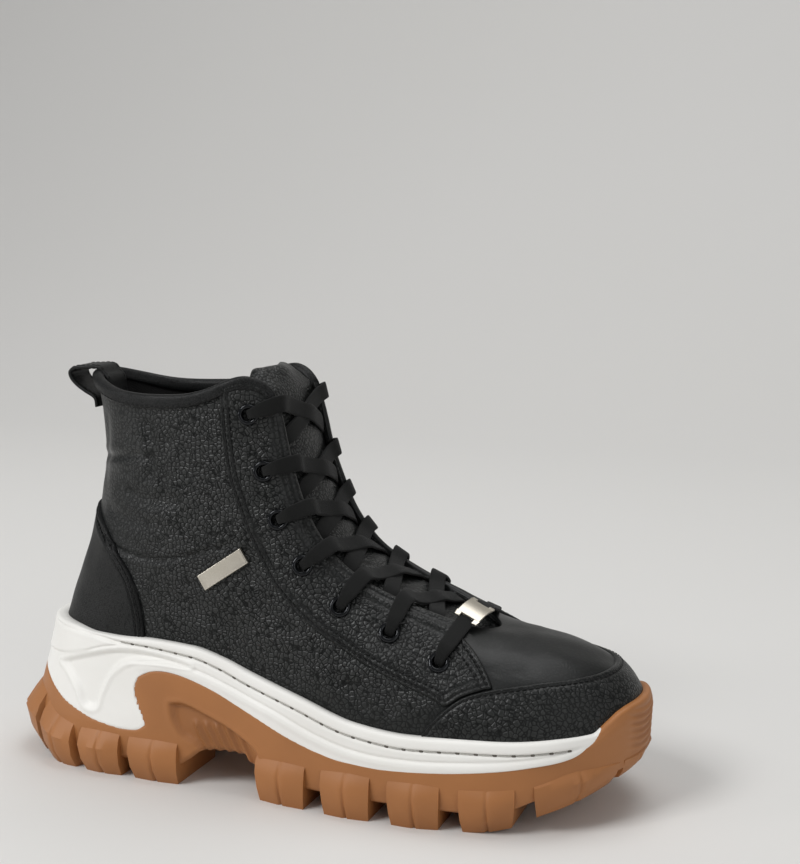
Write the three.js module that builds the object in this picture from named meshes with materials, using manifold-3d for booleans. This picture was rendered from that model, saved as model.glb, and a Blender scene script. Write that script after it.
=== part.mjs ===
// Chunky lace-up ankle boot for the right foot, without its wearer.
// Frame: +X to the toe, -Y to the outer side of the foot, +Z up, floor at Z = 0, millimetres.
import * as THREE from 'three';
import { mergeVertices } from 'three/addons/utils/BufferGeometryUtils.js';
import Module from 'manifold-3d';

const wasm = await Module();
wasm.setup();

// Driving dimensions of the upper
const UPPER_LENGTH = 271.5;
const BALL_WIDTH = 92;
const BOOT_HEIGHT = 180;
const COLLAR_WIDTH = 58;
const WALL = 2.2;

// Driving dimensions of the sole
const HEEL_RIM_HEIGHT = 67;
const SOLE_SPREAD = 20;
const LUG_DEPTH = 8;
const LUG_GAP = 8;
const HEEL_LUG_GAP = 5;
const LUG_PITCH = 30.5;
const CHANNEL_WIDTH = 12;
const RIM_LIP = 3.2;
const RIM_GROOVE = 1.2;
const PANEL_DEPTH = 3;
const SCOOP_DEPTH = 1.5;
const RIB_WIDTH = 1.8;
const RIB_COUNT = 5;

// Driving dimensions of the trim
const OVERLAY = 1.2;
const BINDING_HEIGHT = 6;
const TONGUE_THICKNESS = 4.5;
const TONGUE_UNDERLAP = 10;
const TONGUE_ABOVE_FACINGS = 10;
const INSOLE_THICKNESS = 4;
const EYELET_OUTER = 9;
const EYELET_HOLE = 5;
const EYELET_HEIGHT = 1.3;
const LACE_WIDTH = 7;
const LACE_THICKNESS = 1.5;
const TAG_LENGTH = 16;
const TAG_WIDTH = 11;
const TAG_THICKNESS = 1;
const PLATE_LENGTH = 25;
const PLATE_WIDTH = 7.5;
const PLATE_THICKNESS = 1.2;
const LOOP_WIDTH = 13;
const LOOP_THICKNESS = 1.8;

// Gap that neighbouring pieces keep, and how far a facet may stray
const CLEARANCE = 0.3;
const FACET_TOLERANCE = 0.05;

// Ribs of the upper from the heel, over the outer side, to the toe. Each rib climbs from the
// feather edge at the sole to the collar or throat edge.
// along: feather point, share of the upper's length from the heel
// outer, inner: feather point, share of the ball width off the centre line on either side
// topAlong: top point, share of the upper's length
// topSide: top point, share of the collar width off the centre line
// topHeight: top point, share of the boot's height
// rise, drop: length of the lower and upper handles, share of the rib's height
// flare, reach: outward lean of the lower and upper handles, share of the ball width
const RIB_NAMES = ['along', 'outer', 'inner', 'topAlong', 'topSide', 'topHeight',
  'rise', 'flare', 'drop', 'reach'];
const RIBS = [
  [0.000, 0.000, 0.000, 0.076, 0.000, 0.990, 0.23, -0.078, 0.40, -0.174],
  [0.020, 0.152, 0.147, 0.088, 0.190, 0.984, 0.23, -0.072, 0.40, -0.150],
  [0.072, 0.277, 0.270, 0.127, 0.353, 0.966, 0.24, -0.050, 0.40, -0.090],
  [0.142, 0.337, 0.321, 0.175, 0.450, 0.952, 0.27, -0.010, 0.38, -0.020],
  [0.223, 0.370, 0.332, 0.238, 0.510, 0.950, 0.29, 0.010, 0.37, 0.020],
  [0.297, 0.386, 0.326, 0.304, 0.530, 0.958, 0.29, 0.022, 0.37, 0.030],
  [0.355, 0.397, 0.326, 0.355, 0.520, 0.984, 0.30, 0.030, 0.36, 0.035],
  [0.403, 0.413, 0.332, 0.396, 0.466, 1.000, 0.30, 0.030, 0.35, 0.060],
  [0.444, 0.432, 0.342, 0.436, 0.385, 0.961, 0.30, 0.030, 0.35, 0.100],
  [0.488, 0.451, 0.359, 0.456, 0.370, 0.848, 0.31, 0.030, 0.34, 0.130],
  [0.540, 0.473, 0.386, 0.486, 0.375, 0.694, 0.33, 0.030, 0.27, 0.150],
  [0.595, 0.489, 0.424, 0.536, 0.375, 0.577, 0.38, 0.030, 0.19, 0.155],
  [0.657, 0.502, 0.462, 0.610, 0.360, 0.504, 0.43, 0.027, 0.15, 0.155],
  [0.724, 0.505, 0.495, 0.687, 0.310, 0.457, 0.48, 0.027, 0.13, 0.155],
  [0.790, 0.489, 0.500, 0.735, 0.240, 0.430, 0.54, 0.030, 0.11, 0.180],
  [0.856, 0.451, 0.467, 0.758, 0.170, 0.418, 0.60, 0.035, 0.11, 0.220],
  [0.915, 0.364, 0.397, 0.770, 0.106, 0.413, 0.65, 0.042, 0.10, 0.270],
  [0.963, 0.234, 0.304, 0.776, 0.056, 0.411, 0.69, 0.055, 0.09, 0.310],
  [0.991, 0.092, 0.185, 0.779, 0.017, 0.410, 0.71, 0.068, 0.09, 0.330],
  [1.000, -0.054, 0.054, 0.779, 0.000, 0.410, 0.72, 0.072, 0.09, 0.330],
];

// How far the sole stands out from the feather edge at each rib, share of the sole's spread
// at the back of the heel: at the rim, the middle of the band, the rubber, the lugs' widest
// place and the lugs' feet
const SPREADS = [
  [0.20, 0.55, 0.76, 1.00, 0.72], [0.20, 0.52, 0.74, 0.98, 0.70], [0.19, 0.46, 0.64, 0.84, 0.58],
  [0.18, 0.38, 0.52, 0.68, 0.45], [0.17, 0.33, 0.42, 0.55, 0.34], [0.17, 0.29, 0.36, 0.48, 0.30],
  [0.16, 0.27, 0.32, 0.44, 0.29], [0.16, 0.26, 0.30, 0.42, 0.29], [0.16, 0.25, 0.30, 0.42, 0.30],
  [0.16, 0.25, 0.30, 0.42, 0.31], [0.16, 0.25, 0.30, 0.42, 0.32], [0.16, 0.25, 0.30, 0.42, 0.30],
  [0.16, 0.25, 0.29, 0.40, 0.26], [0.16, 0.24, 0.28, 0.38, 0.20], [0.16, 0.24, 0.27, 0.36, 0.12],
  [0.16, 0.23, 0.26, 0.34, 0.06], [0.16, 0.22, 0.24, 0.31, 0.03], [0.17, 0.22, 0.22, 0.26, 0.02],
  [0.18, 0.22, 0.21, 0.22, 0.04], [0.19, 0.22, 0.20, 0.20, 0.06],
];

// Heights along the sole: share of the upper's length, share of the rim height at the heel
const RIM_TOP = [[-0.10, 0.945], [0.020, 0.965], [0.068, 0.962], [0.123, 0.943], [0.160, 0.943],
  [0.230, 0.955], [0.308, 0.940], [0.363, 0.890], [0.414, 0.820], [0.503, 0.715], [0.602, 0.602],
  [0.683, 0.572], [0.768, 0.582], [0.842, 0.584], [0.904, 0.594], [0.955, 0.602], [0.974, 0.660],
  [0.989, 0.706], [1.004, 0.725], [1.050, 0.735]];
const CUP_FLOOR = [[-0.05, 0.840], [0.160, 0.825], [0.260, 0.817], [0.308, 0.800], [0.363, 0.750],
  [0.414, 0.690], [0.503, 0.590], [0.602, 0.485], [0.683, 0.455], [0.768, 0.460], [0.904, 0.477],
  [1.010, 0.510]];
const FLOOR_LINE = [[-0.080, 0.115], [-0.040, 0.070], [0.000, 0.030], [0.045, 0.000], [0.500, 0.000],
  [0.780, 0.000], [0.842, 0.035], [0.880, 0.100], [0.915, 0.150], [0.952, 0.210], [0.989, 0.280],
  [1.020, 0.345]];
const BASE_LINE = [[-0.080, 0.235], [-0.040, 0.180], [0.045, 0.125], [0.275, 0.125], [0.300, 0.180],
  [0.325, 0.250], [0.390, 0.265], [0.415, 0.200], [0.435, 0.130], [0.780, 0.125], [0.842, 0.155],
  [0.880, 0.215], [0.915, 0.260], [0.952, 0.300], [0.989, 0.330], [1.020, 0.360]];
const LUG_TOP = [[-0.080, 0.420], [0.000, 0.370], [0.050, 0.300], [0.105, 0.272], [0.500, 0.266],
  [0.800, 0.266], [0.880, 0.315], [0.940, 0.385], [1.020, 0.400]];

// Line between the pale midsole and the rubber, in the same shares, with the hook at the heel
const COLOUR_LINE = [[-0.160, 0.660], [-0.042, 0.625], [-0.009, 0.585], [0.028, 0.515],
  [0.064, 0.448], [0.123, 0.367], [0.175, 0.331], [0.208, 0.338], [0.224, 0.375], [0.220, 0.440],
  [0.208, 0.520], [0.202, 0.610], [0.209, 0.690], [0.234, 0.742], [0.263, 0.754], [0.300, 0.731],
  [0.352, 0.664], [0.400, 0.582], [0.477, 0.455], [0.530, 0.392], [0.575, 0.356], [0.646, 0.342],
  [0.742, 0.367], [0.810, 0.397], [0.871, 0.434], [0.930, 0.478], [0.957, 0.552], [0.971, 0.687],
  [0.985, 0.900]];

// Sunken panel of the arch and its slanted ribs, in the same shares
const ARCH_PANEL = [[0.268, 0.555], [0.293, 0.565], [0.341, 0.505], [0.394, 0.415], [0.433, 0.290],
  [0.420, 0.050], [0.320, 0.050], [0.322, 0.260], [0.290, 0.345], [0.272, 0.455]];
// Scoop sunk into the pale side of the heel, in the same shares
const SCOOP = [[0.041, 0.697], [0.068, 0.748], [0.121, 0.815], [0.159, 0.852], [0.212, 0.870],
  [0.268, 0.852], [0.310, 0.812], [0.233, 0.812], [0.184, 0.780], [0.150, 0.696], [0.136, 0.567],
  [0.126, 0.462], [0.104, 0.462], [0.080, 0.560], [0.058, 0.640]];

const ARCH_RIB_START = 0.312;
const ARCH_RIB_STEP = 0.0185;
const ARCH_RIB_HEIGHTS = [0.215, 0.440];
const ARCH_RIB_LEAN = 0.022;

// Middles of the gaps between the lugs along each side, and turns of the gaps round the heel
const HEEL_GAPS = [0.087, 0.184, 0.284];
const FORE_GAP_START = 0.532;
const FORE_GAP_COUNT = 4;
const BACK_GAP_TURNS = [-0.62, 0, 0.62];
const HEEL_CENTRE = 0.15;
const ARCH_OPENING = [0.284, 0.428];

// Eyelets on each side from the collar down: rib and share of that rib's climb
const EYELETS = [[7.1, 0.89], [7.7, 0.74], [8.45, 0.65], [9.6, 0.64], [10.9, 0.65], [12.1, 0.66],
  [13.2, 0.56]];

// Seams of the overlays in side view: share of the upper's length, share of the boot's height
const GUARD_SEAM = [[0.703, 0.200], [0.716, 0.235], [0.734, 0.265], [0.763, 0.299], [0.797, 0.317],
  [0.840, 0.327], [0.881, 0.332], [0.918, 0.334], [0.966, 0.335], [1.050, 0.335]];
const COUNTER_SEAM = [[-0.050, 0.662], [0.075, 0.659], [0.090, 0.645], [0.126, 0.610], [0.151, 0.568],
  [0.174, 0.529], [0.194, 0.488], [0.208, 0.433], [0.215, 0.363], [0.216, 0.340]];
const EYESTAY_SEAM = [[0.355, 1.050], [0.355, 0.954], [0.360, 0.874], [0.368, 0.795], [0.380, 0.732],
  [0.413, 0.619], [0.457, 0.514], [0.518, 0.432], [0.570, 0.387], [0.613, 0.354], [0.669, 0.321],
  [0.739, 0.290], [0.763, 0.306], [0.790, 0.323], [0.785, 0.350], [0.772, 0.372], [0.752, 0.390],
  [0.742, 0.415], [0.740, 0.480]];
const BINDING_END = 8;

// Tongue: first and last row of its sides, as ribs, and its crown at a few of them, share of
// the throat's width
const TONGUE_RIBS = [8, 15.5];
const TONGUE_CROWN = [[8, 0.05], [10, 0.10], [12, 0.12], [14, 0.08], [15.5, 0.00]];
const TONGUE_TAPER = 0.22;

// End of the tongue under the vamp: rib and climb off its far and near spots on a side
const TONGUE_END = [[17.0, 0.86, 17.5, 0.90], [18.0, 0.84, 18.5, 0.87]];

// Pull loop: distances below the collar's edge of its two spots on the heel and of its two
// spots inside, and between them its path in side view, from the top of the collar at the heel
const LOOP_OUTSIDE = [17, 12.5];
const LOOP_PATH = [[-4.6, -9.4], [-8.6, -6.4], [-11.6, -2.8], [-12.2, 0.6], [-9.6, 2.8], [-4.0, 3.2],
  [2.8, 2.4], [5.7, -0.8]];
const LOOP_INSIDE = [5, 9];

// Stretches of ribs on a side with an extra column between their ribs, and levels of the climb
const DENSE = [[0, 3], [7, 12], [15, 19]];
const CLIMB = [0, 0.10, 0.21, 0.33, 0.46, 0.60, 0.74, 0.88, 1];

// Smooth closed curve through evenly numbered values
function closedSpline(values) {
  const count = values.length;
  const at = (index) => values[(index + count) % count];
  const slopes = values.map((_, i) => (at(i + 1) - at(i - 1)) / 2);
  for (let pass = 0; pass < 40; pass += 1) {
    for (let i = 0; i < count; i += 1) {
      const before = slopes[(i + count - 1) % count];
      const after = slopes[(i + 1) % count];
      slopes[i] = (3 * (at(i + 1) - at(i - 1)) - before - after) / 4;
    }
  }
  return (place) => {
    const wrapped = ((place % count) + count) % count;
    const i = Math.floor(wrapped);
    const t = wrapped - i;
    const next = (i + 1) % count;
    const span = values[next] - values[i];
    const bend = slopes[i] + slopes[next] - 2 * span;
    return values[i] + t * (slopes[i] + t * (3 * span - 2 * slopes[i] - slopes[next] + t * bend));
  };
}

// Curve through rising places that never overshoots its points
function steadyCurve(points) {
  const steps = points.slice(1).map((point, i) => (point[1] - points[i][1]) / (point[0] - points[i][0]));
  const slopes = points.map((_, i) => {
    if (i === 0) return steps[0];
    if (i === points.length - 1) return steps[i - 1];
    const product = steps[i - 1] * steps[i];
    return product <= 0 ? 0 : (2 * product) / (steps[i - 1] + steps[i]);
  });
  return (place) => {
    if (place <= points[0][0]) return points[0][1];
    let i = 0;
    while (i < points.length - 2 && place > points[i + 1][0]) i += 1;
    const width = points[i + 1][0] - points[i][0];
    const t = Math.min((place - points[i][0]) / width, 1);
    const span = points[i + 1][1] - points[i][1];
    const a = slopes[i] * width;
    const b = slopes[i + 1] * width;
    return points[i][1] + t * (a + t * (3 * span - 2 * a - b + t * (a + b - 2 * span)));
  };
}

// Heights along the sole in millimetres, from a place in millimetres
const heightAlong = (table) => {
  const curve = steadyCurve(table);
  return (x) => HEEL_RIM_HEIGHT * curve(x / UPPER_LENGTH);
};
const rimTop = heightAlong(RIM_TOP);
const cupFloor = heightAlong(CUP_FLOOR);
const floorLine = heightAlong(FLOOR_LINE);
const baseLine = heightAlong(BASE_LINE);
const lugTop = heightAlong(LUG_TOP);

// Ribs of both sides in one closed round: heel, outer side, toe, inner side
const LAST_RIB = RIBS.length - 1;
const ROUND = 2 * LAST_RIB;
const ribRow = (index) => RIBS[index <= LAST_RIB ? index : ROUND - index];
const sideOf = (index) => (index <= LAST_RIB ? -1 : 1);

function roundCurve(pick) {
  return closedSpline(Array.from({ length: ROUND }, (_, i) => pick(ribRow(i), sideOf(i))));
}
const column = (name) => RIB_NAMES.indexOf(name);
const featherX = roundCurve((row) => UPPER_LENGTH * row[column('along')]);
const featherY = roundCurve((row, side) => side * BALL_WIDTH * row[column(side < 0 ? 'outer' : 'inner')]);
const topX = roundCurve((row) => UPPER_LENGTH * row[column('topAlong')]);
const topY = roundCurve((row, side) => side * COLLAR_WIDTH * row[column('topSide')]);
const topZ = roundCurve((row) => BOOT_HEIGHT * row[column('topHeight')]);
const handle = Object.fromEntries(['rise', 'flare', 'drop', 'reach'].map((name) => [
  name, roundCurve((row) => row[column(name)])]));
const spreadOf = [0, 1, 2, 3, 4].map((level) => closedSpline(Array.from({ length: ROUND }, (_, i) => (
  SOLE_SPREAD * SPREADS[i <= LAST_RIB ? i : ROUND - i][level]))));

// Outward direction of the feather edge in plan
function featherNormal(rib) {
  const step = 0.05;
  const dx = featherX(rib + step) - featherX(rib - step);
  const dy = featherY(rib + step) - featherY(rib - step);
  return new THREE.Vector3(dy, -dx, 0).normalize();
}

// Outer surface of the upper at a rib and a share of its climb
function skin(rib, climb) {
  const low = new THREE.Vector3(featherX(rib), featherY(rib), 0);
  low.z = cupFloor(low.x);
  const high = new THREE.Vector3(topX(rib), topY(rib), topZ(rib));
  const tall = high.z - low.z;
  const lean = new THREE.Vector3(low.x - high.x, low.y - high.y, 0).normalize();
  const lowHandle = low.clone().addScaledVector(featherNormal(rib), handle.flare(rib) * BALL_WIDTH);
  lowHandle.z += handle.rise(rib) * tall;
  const highHandle = high.clone().addScaledVector(lean, handle.reach(rib) * BALL_WIDTH);
  highHandle.z -= handle.drop(rib) * tall;
  return new THREE.CubicBezierCurve3(low, lowHandle, highHandle, high).getPoint(climb);
}

function skinNormal(rib, climb) {
  const step = 0.02;
  const along = skin(rib + 0.25, climb).sub(skin(rib - 0.25, climb));
  const up = skin(rib, Math.min(climb + step, 1)).sub(skin(rib, Math.max(climb - step, 0)));
  return along.cross(up).normalize();
}

// The same surface as flat facets, which every piece on the upper is set against
const isDense = (rib) => DENSE.some(([from, to]) => rib > from && rib < to);
const PLACES = Array.from({ length: 2 * ROUND }, (_, i) => i / 2).filter((rib) => (
  Number.isInteger(rib) || isDense(rib) || isDense(ROUND - rib)));
const COLUMNS = PLACES.length;
const SKIN = PLACES.map((rib) => CLIMB.map((climb) => ({
  point: skin(rib, climb),
  normal: skinNormal(rib, climb),
})));
const wrap = (j) => ((j % COLUMNS) + COLUMNS) % COLUMNS;

// Point over the facets of one column, lifted off them
function overColumn(j, climb, lift) {
  const spots = SKIN[wrap(j)];
  let k = 0;
  while (k < CLIMB.length - 2 && climb > CLIMB[k + 1]) k += 1;
  const t = (climb - CLIMB[k]) / (CLIMB[k + 1] - CLIMB[k]);
  const point = spots[k].point.clone().lerp(spots[k + 1].point, t);
  const normal = spots[k].normal.clone().lerp(spots[k + 1].normal, t).normalize();
  return point.addScaledVector(normal, lift);
}

// Climb at which a column reaches a height
function climbAtHeight(j, height) {
  let low = 0;
  let high = 1;
  for (let step = 0; step < 30; step += 1) {
    const middle = (low + high) / 2;
    if (overColumn(j, middle, 0).z < height) low = middle;
    else high = middle;
  }
  return high;
}

// Closed solid from vertices and triangles, turned so that its faces point out
function solid(points, triangles) {
  const volume = triangles.reduce((sum, [a, b, c]) => (
    sum + points[a].dot(points[b].clone().cross(points[c]))), 0);
  const faces = volume < 0 ? triangles.map(([a, b, c]) => [a, c, b]) : triangles;
  const mesh = new wasm.Mesh({
    numProp: 3,
    vertProperties: new Float32Array(points.flatMap((point) => point.toArray())),
    triVerts: new Uint32Array(faces.flat()),
  });
  return new wasm.Manifold(mesh);
}

// Solid between two equal grids of points, one over the other. A looped grid closes on itself.
function slab(over, under, looped = false) {
  const rows = over.length;
  const across = over[0].length;
  const points = [...over.flat(), ...under.flat()];
  const id = (i, k, below) => (below ? rows * across : 0) + (i % rows) * across + k;
  const triangles = [];
  const quad = (a, b, c, d) => triangles.push([a, b, c], [a, c, d]);
  const strips = looped ? rows : rows - 1;
  for (let i = 0; i < strips; i += 1) {
    for (let k = 0; k < across - 1; k += 1) {
      quad(id(i, k, false), id(i + 1, k, false), id(i + 1, k + 1, false), id(i, k + 1, false));
      quad(id(i, k, true), id(i, k + 1, true), id(i + 1, k + 1, true), id(i + 1, k, true));
    }
    quad(id(i, 0, false), id(i, 0, true), id(i + 1, 0, true), id(i + 1, 0, false));
    const end = across - 1;
    quad(id(i, end, false), id(i + 1, end, false), id(i + 1, end, true), id(i, end, true));
  }
  if (!looped) {
    for (let k = 0; k < across - 1; k += 1) {
      quad(id(0, k, false), id(0, k + 1, false), id(0, k + 1, true), id(0, k, true));
      const last = rows - 1;
      quad(id(last, k, false), id(last, k, true), id(last, k + 1, true), id(last, k + 1, false));
    }
  }
  return solid(points, triangles);
}

// Solid through rings that run round the shoe, closed above and below side to side
function stack(rings) {
  const points = rings.flat();
  const triangles = [];
  const id = (level, j) => level * COLUMNS + wrap(j);
  for (let level = 0; level < rings.length - 1; level += 1) {
    for (let j = 0; j < COLUMNS; j += 1) {
      triangles.push([id(level, j), id(level, j + 1), id(level + 1, j + 1)]);
      triangles.push([id(level, j), id(level + 1, j + 1), id(level + 1, j)]);
    }
  }
  const half = COLUMNS / 2;
  const top = rings.length - 1;
  for (let j = 0; j < half; j += 1) {
    if (j > 0) {
      triangles.push([id(top, j), id(top, j + 1), id(top, -j)]);
      triangles.push([id(0, j), id(0, -j), id(0, j + 1)]);
    }
    if (j < half - 1) {
      triangles.push([id(top, j + 1), id(top, -j - 1), id(top, -j)]);
      triangles.push([id(0, j + 1), id(0, -j), id(0, -j - 1)]);
    }
  }
  return solid(points, triangles);
}

// Solid of a side-view outline, carried across the shoe from one side to the other
function sideCut(outline, from = -2 * BALL_WIDTH, to = 2 * BALL_WIDTH) {
  const shape = new THREE.Shape(outline.map(([x, z]) => new THREE.Vector2(x, z)));
  const geometry = new THREE.ExtrudeGeometry(shape, { depth: to - from, bevelEnabled: false });
  geometry.rotateX(Math.PI / 2);
  geometry.translate(0, to, 0);
  return fromGeometry(geometry);
}

function fromGeometry(geometry) {
  const bare = geometry.clone();
  bare.deleteAttribute('normal');
  bare.deleteAttribute('uv');
  const merged = mergeVertices(bare, 1e-4);
  return new wasm.Manifold(new wasm.Mesh({
    numProp: 3,
    vertProperties: new Float32Array(merged.attributes.position.array),
    triVerts: new Uint32Array(merged.index.array),
  }));
}

function boxBetween(low, high) {
  const geometry = new THREE.BoxGeometry(high[0] - low[0], high[1] - low[1], high[2] - low[2]);
  geometry.translate((low[0] + high[0]) / 2, (low[1] + high[1]) / 2, (low[2] + high[2]) / 2);
  return fromGeometry(geometry);
}

const joined = (solids) => solids.reduce((sum, item) => sum.add(item));

// Upper: one hollow wall, open at the collar and throat and underneath
function makeUpper() {
  const over = SKIN.map((spots) => spots.map(({ point }) => point));
  const under = SKIN.map((spots) => spots.map(({ point, normal }) => (
    point.clone().addScaledVector(normal, -WALL))));
  under.forEach((points, j) => { points[0].z = over[j][0].z; });
  return slab(over, under, true);
}

// Room that the upper takes out of the sole, up past the rim
function makeCupRoom() {
  const rings = CLIMB.slice(0, 5).map((climb, level) => Array.from({ length: COLUMNS }, (_, j) => {
    const point = overColumn(j, climb, CLEARANCE);
    if (level === 0) point.z -= CLEARANCE;
    return point;
  }));
  return stack(rings);
}

// Ring of the sole: spread from the feather edge and height worked out rib by rib
function soleRing(spread, height) {
  return PLACES.map((rib) => {
    const point = new THREE.Vector3(featherX(rib), featherY(rib), 0);
    point.addScaledVector(featherNormal(rib), spread(rib));
    point.z = height(point.x);
    return point;
  });
}

// Whole body of the sole above its lugs, with the rim's lip and the groove below it
function makeSoleBody(inset = 0) {
  const [rim, band, rubber] = spreadOf;
  const grooveTop = RIM_LIP + RIM_GROOVE / 2;
  const bandTop = RIM_LIP + 2.5 * RIM_GROOVE;
  const below = (x, share) => THREE.MathUtils.lerp(rimTop(x) - bandTop, baseLine(x), share);
  return stack([
    soleRing((rib) => rim(rib) - inset, (x) => rimTop(x)),
    soleRing((rib) => rim(rib) + RIM_GROOVE / 2 - inset, (x) => rimTop(x) - RIM_LIP),
    soleRing((rib) => rim(rib) - RIM_GROOVE / 3 - inset, (x) => rimTop(x) - grooveTop),
    soleRing((rib) => rim(rib) - RIM_GROOVE / 3 - inset, (x) => rimTop(x) - grooveTop - RIM_GROOVE),
    soleRing((rib) => rim(rib) + RIM_GROOVE - inset, (x) => rimTop(x) - bandTop),
    soleRing((rib) => band(rib) - inset, (x) => below(x, 0.5)),
    soleRing((rib) => rubber(rib) - inset, (x) => below(x, 0.8)),
    soleRing((rib) => rubber(rib) * 0.8 - inset, (x) => baseLine(x)),
  ].reverse());
}

const inSoleSizes = (table) => table.map(([s, h]) => [s * UPPER_LENGTH, h * HEEL_RIM_HEIGHT]);

// Outline of the region above the colour line, moved down by a gap for the rubber below it
function aboveColourLine(gap) {
  const line = inSoleSizes(COLOUR_LINE).map(([x, z]) => new THREE.Vector2(x, z));
  const moved = line.map((point, i) => {
    const before = line[Math.max(i - 1, 0)];
    const after = line[Math.min(i + 1, line.length - 1)];
    const along = after.clone().sub(before).normalize();
    return [point.x + along.y * gap, point.y - along.x * gap];
  });
  const roof = 2 * HEEL_RIM_HEIGHT;
  return [...moved, [moved.at(-1)[0], roof], [moved[0][0], roof]];
}

function makeMidsole(cupRoom) {
  const scoop = sideCut(inSoleSizes(SCOOP)).subtract(makeSoleBody(SCOOP_DEPTH));
  return makeSoleBody().intersect(sideCut(aboveColourLine(0))).subtract(scoop).subtract(cupRoom);
}

// Wedge across the shoe that parts two lugs, at a place and turn in plan
function lugGap(x, y, turn, width) {
  const reach = BALL_WIDTH;
  const geometry = new THREE.BoxGeometry(width, reach, HEEL_RIM_HEIGHT);
  geometry.translate(0, -reach / 2 - CHANNEL_WIDTH / 4, HEEL_RIM_HEIGHT / 2 - LUG_DEPTH);
  geometry.rotateZ(turn);
  geometry.translate(x, y, 0);
  return fromGeometry(geometry);
}

// Lugs: one ring of rubber round the sole, parted by gaps, a channel and the arch
function makeLugs() {
  const [, , rubber, lug, foot] = spreadOf;
  const height = (share) => (x) => THREE.MathUtils.lerp(floorLine(x), lugTop(x), share);
  const ring = stack([
    soleRing(foot, height(0)),
    soleRing((rib) => THREE.MathUtils.lerp(foot(rib), lug(rib), 0.75), height(0.35)),
    soleRing(lug, height(0.7)),
    soleRing((rib) => THREE.MathUtils.lerp(rubber(rib), lug(rib), 0.35), height(1)),
  ]);
  const foreGaps = Array.from({ length: FORE_GAP_COUNT }, (_, i) => (
    FORE_GAP_START * UPPER_LENGTH + i * LUG_PITCH));
  const cuts = [];
  for (const turn of [0, Math.PI]) {
    for (const share of HEEL_GAPS) cuts.push(lugGap(share * UPPER_LENGTH, 0, turn, HEEL_LUG_GAP));
    for (const x of foreGaps) cuts.push(lugGap(x, 0, turn, LUG_GAP));
  }
  for (const turn of BACK_GAP_TURNS) {
    cuts.push(lugGap(HEEL_CENTRE * UPPER_LENGTH, 0, turn - Math.PI / 2, HEEL_LUG_GAP));
  }
  const [archStart, archEnd] = ARCH_OPENING.map((share) => share * UPPER_LENGTH);
  cuts.push(boxBetween([archStart, -2 * BALL_WIDTH, -LUG_DEPTH], [archEnd, 2 * BALL_WIDTH, HEEL_RIM_HEIGHT]));
  const channelEnd = 0.9 * UPPER_LENGTH;
  cuts.push(boxBetween([0, -CHANNEL_WIDTH / 2, -LUG_DEPTH], [channelEnd, CHANNEL_WIDTH / 2, LUG_DEPTH]));
  return ring.subtract(joined(cuts));
}

// Slanted ribs in the sunken panel of the arch
function makeArchRibs() {
  const outline = (start) => {
    const [low, high] = ARCH_RIB_HEIGHTS.map((share) => share * HEEL_RIM_HEIGHT);
    const foot = (start + ARCH_RIB_LEAN) * UPPER_LENGTH;
    const head = start * UPPER_LENGTH;
    return [[foot, low], [foot + RIB_WIDTH, low], [head + RIB_WIDTH, high], [head, high]];
  };
  return joined(Array.from({ length: RIB_COUNT }, (_, i) => (
    sideCut(outline(ARCH_RIB_START + i * ARCH_RIB_STEP)))));
}

function makeOutsole(cupRoom) {
  const whole = makeSoleBody();
  const inner = makeSoleBody(PANEL_DEPTH);
  const panel = sideCut(inSoleSizes(ARCH_PANEL));
  const ribs = makeArchRibs().intersect(makeSoleBody(PANEL_DEPTH / 3)).intersect(panel);
  return whole
    .subtract(panel.subtract(inner))
    .add(ribs)
    .add(makeLugs())
    .subtract(sideCut(aboveColourLine(CLEARANCE)))
    .subtract(cupRoom);
}

// Insole on the floor of the cup, inside the upper
function makeInsole() {
  const inset = WALL + 2 * CLEARANCE;
  const ring = (lift) => Array.from({ length: COLUMNS }, (_, j) => {
    const foot = overColumn(j, 0, 0);
    const point = overColumn(j, climbAtHeight(j, foot.z + lift), -inset);
    point.z = cupFloor(point.x) + lift;
    return point;
  });
  return stack([ring(0), ring(INSOLE_THICKNESS)]);
}

// Point over the facets between two columns, and the direction off them
function overSkin(rib, climb, lift) {
  const round = ((rib % ROUND) + ROUND) % ROUND;
  const j = PLACES.findLastIndex((place) => place <= round);
  const next = j + 1 < COLUMNS ? PLACES[j + 1] : ROUND;
  const share = (round - PLACES[j]) / (next - PLACES[j]);
  return overColumn(j, climb, lift).lerp(overColumn(j + 1, climb, lift), share);
}

function offSkin(rib, climb) {
  return overSkin(rib, climb, 1).sub(overSkin(rib, climb, 0)).normalize();
}

// Least share that meets a test which holds from there on
function leastShare(test) {
  let low = 0;
  let high = 1;
  for (let step = 0; step < 30; step += 1) {
    const middle = (low + high) / 2;
    if (test(middle)) high = middle;
    else low = middle;
  }
  return high;
}

// Climb at a distance below the top edge
function climbBelowEdge(rib, distance) {
  const edge = overSkin(rib, 1, 0);
  return leastShare((climb) => overSkin(rib, climb, 0).distanceTo(edge) <= distance);
}

const inUpperSizes = (table) => table.map(([s, h]) => [s * UPPER_LENGTH, h * BOOT_HEIGHT]);

// Part of a thin shell over the whole upper, inside a side-view outline
function overlay(outline, from, to) {
  const grid = (lift) => SKIN.map((spots) => spots.map(({ point, normal }) => (
    point.clone().addScaledVector(normal, lift))));
  const shell = slab(grid(CLEARANCE + OVERLAY), grid(CLEARANCE), true);
  return shell.intersect(sideCut(outline, from, to));
}

// The sole and the gap above its rim, which an overlay stops at
function makeSoleRoom() {
  const [rim] = spreadOf;
  return stack([
    soleRing(rim, (x) => baseLine(x)),
    soleRing(rim, (x) => rimTop(x) + CLEARANCE),
  ]);
}

// Overlay under a seam, down to the rim of the sole
function overlayUnder(seam) {
  const outline = inUpperSizes(seam);
  const floor = [[outline.at(-1)[0], 0], [outline[0][0], 0]];
  return overlay([...outline, ...floor]).subtract(makeSoleRoom());
}

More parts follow.
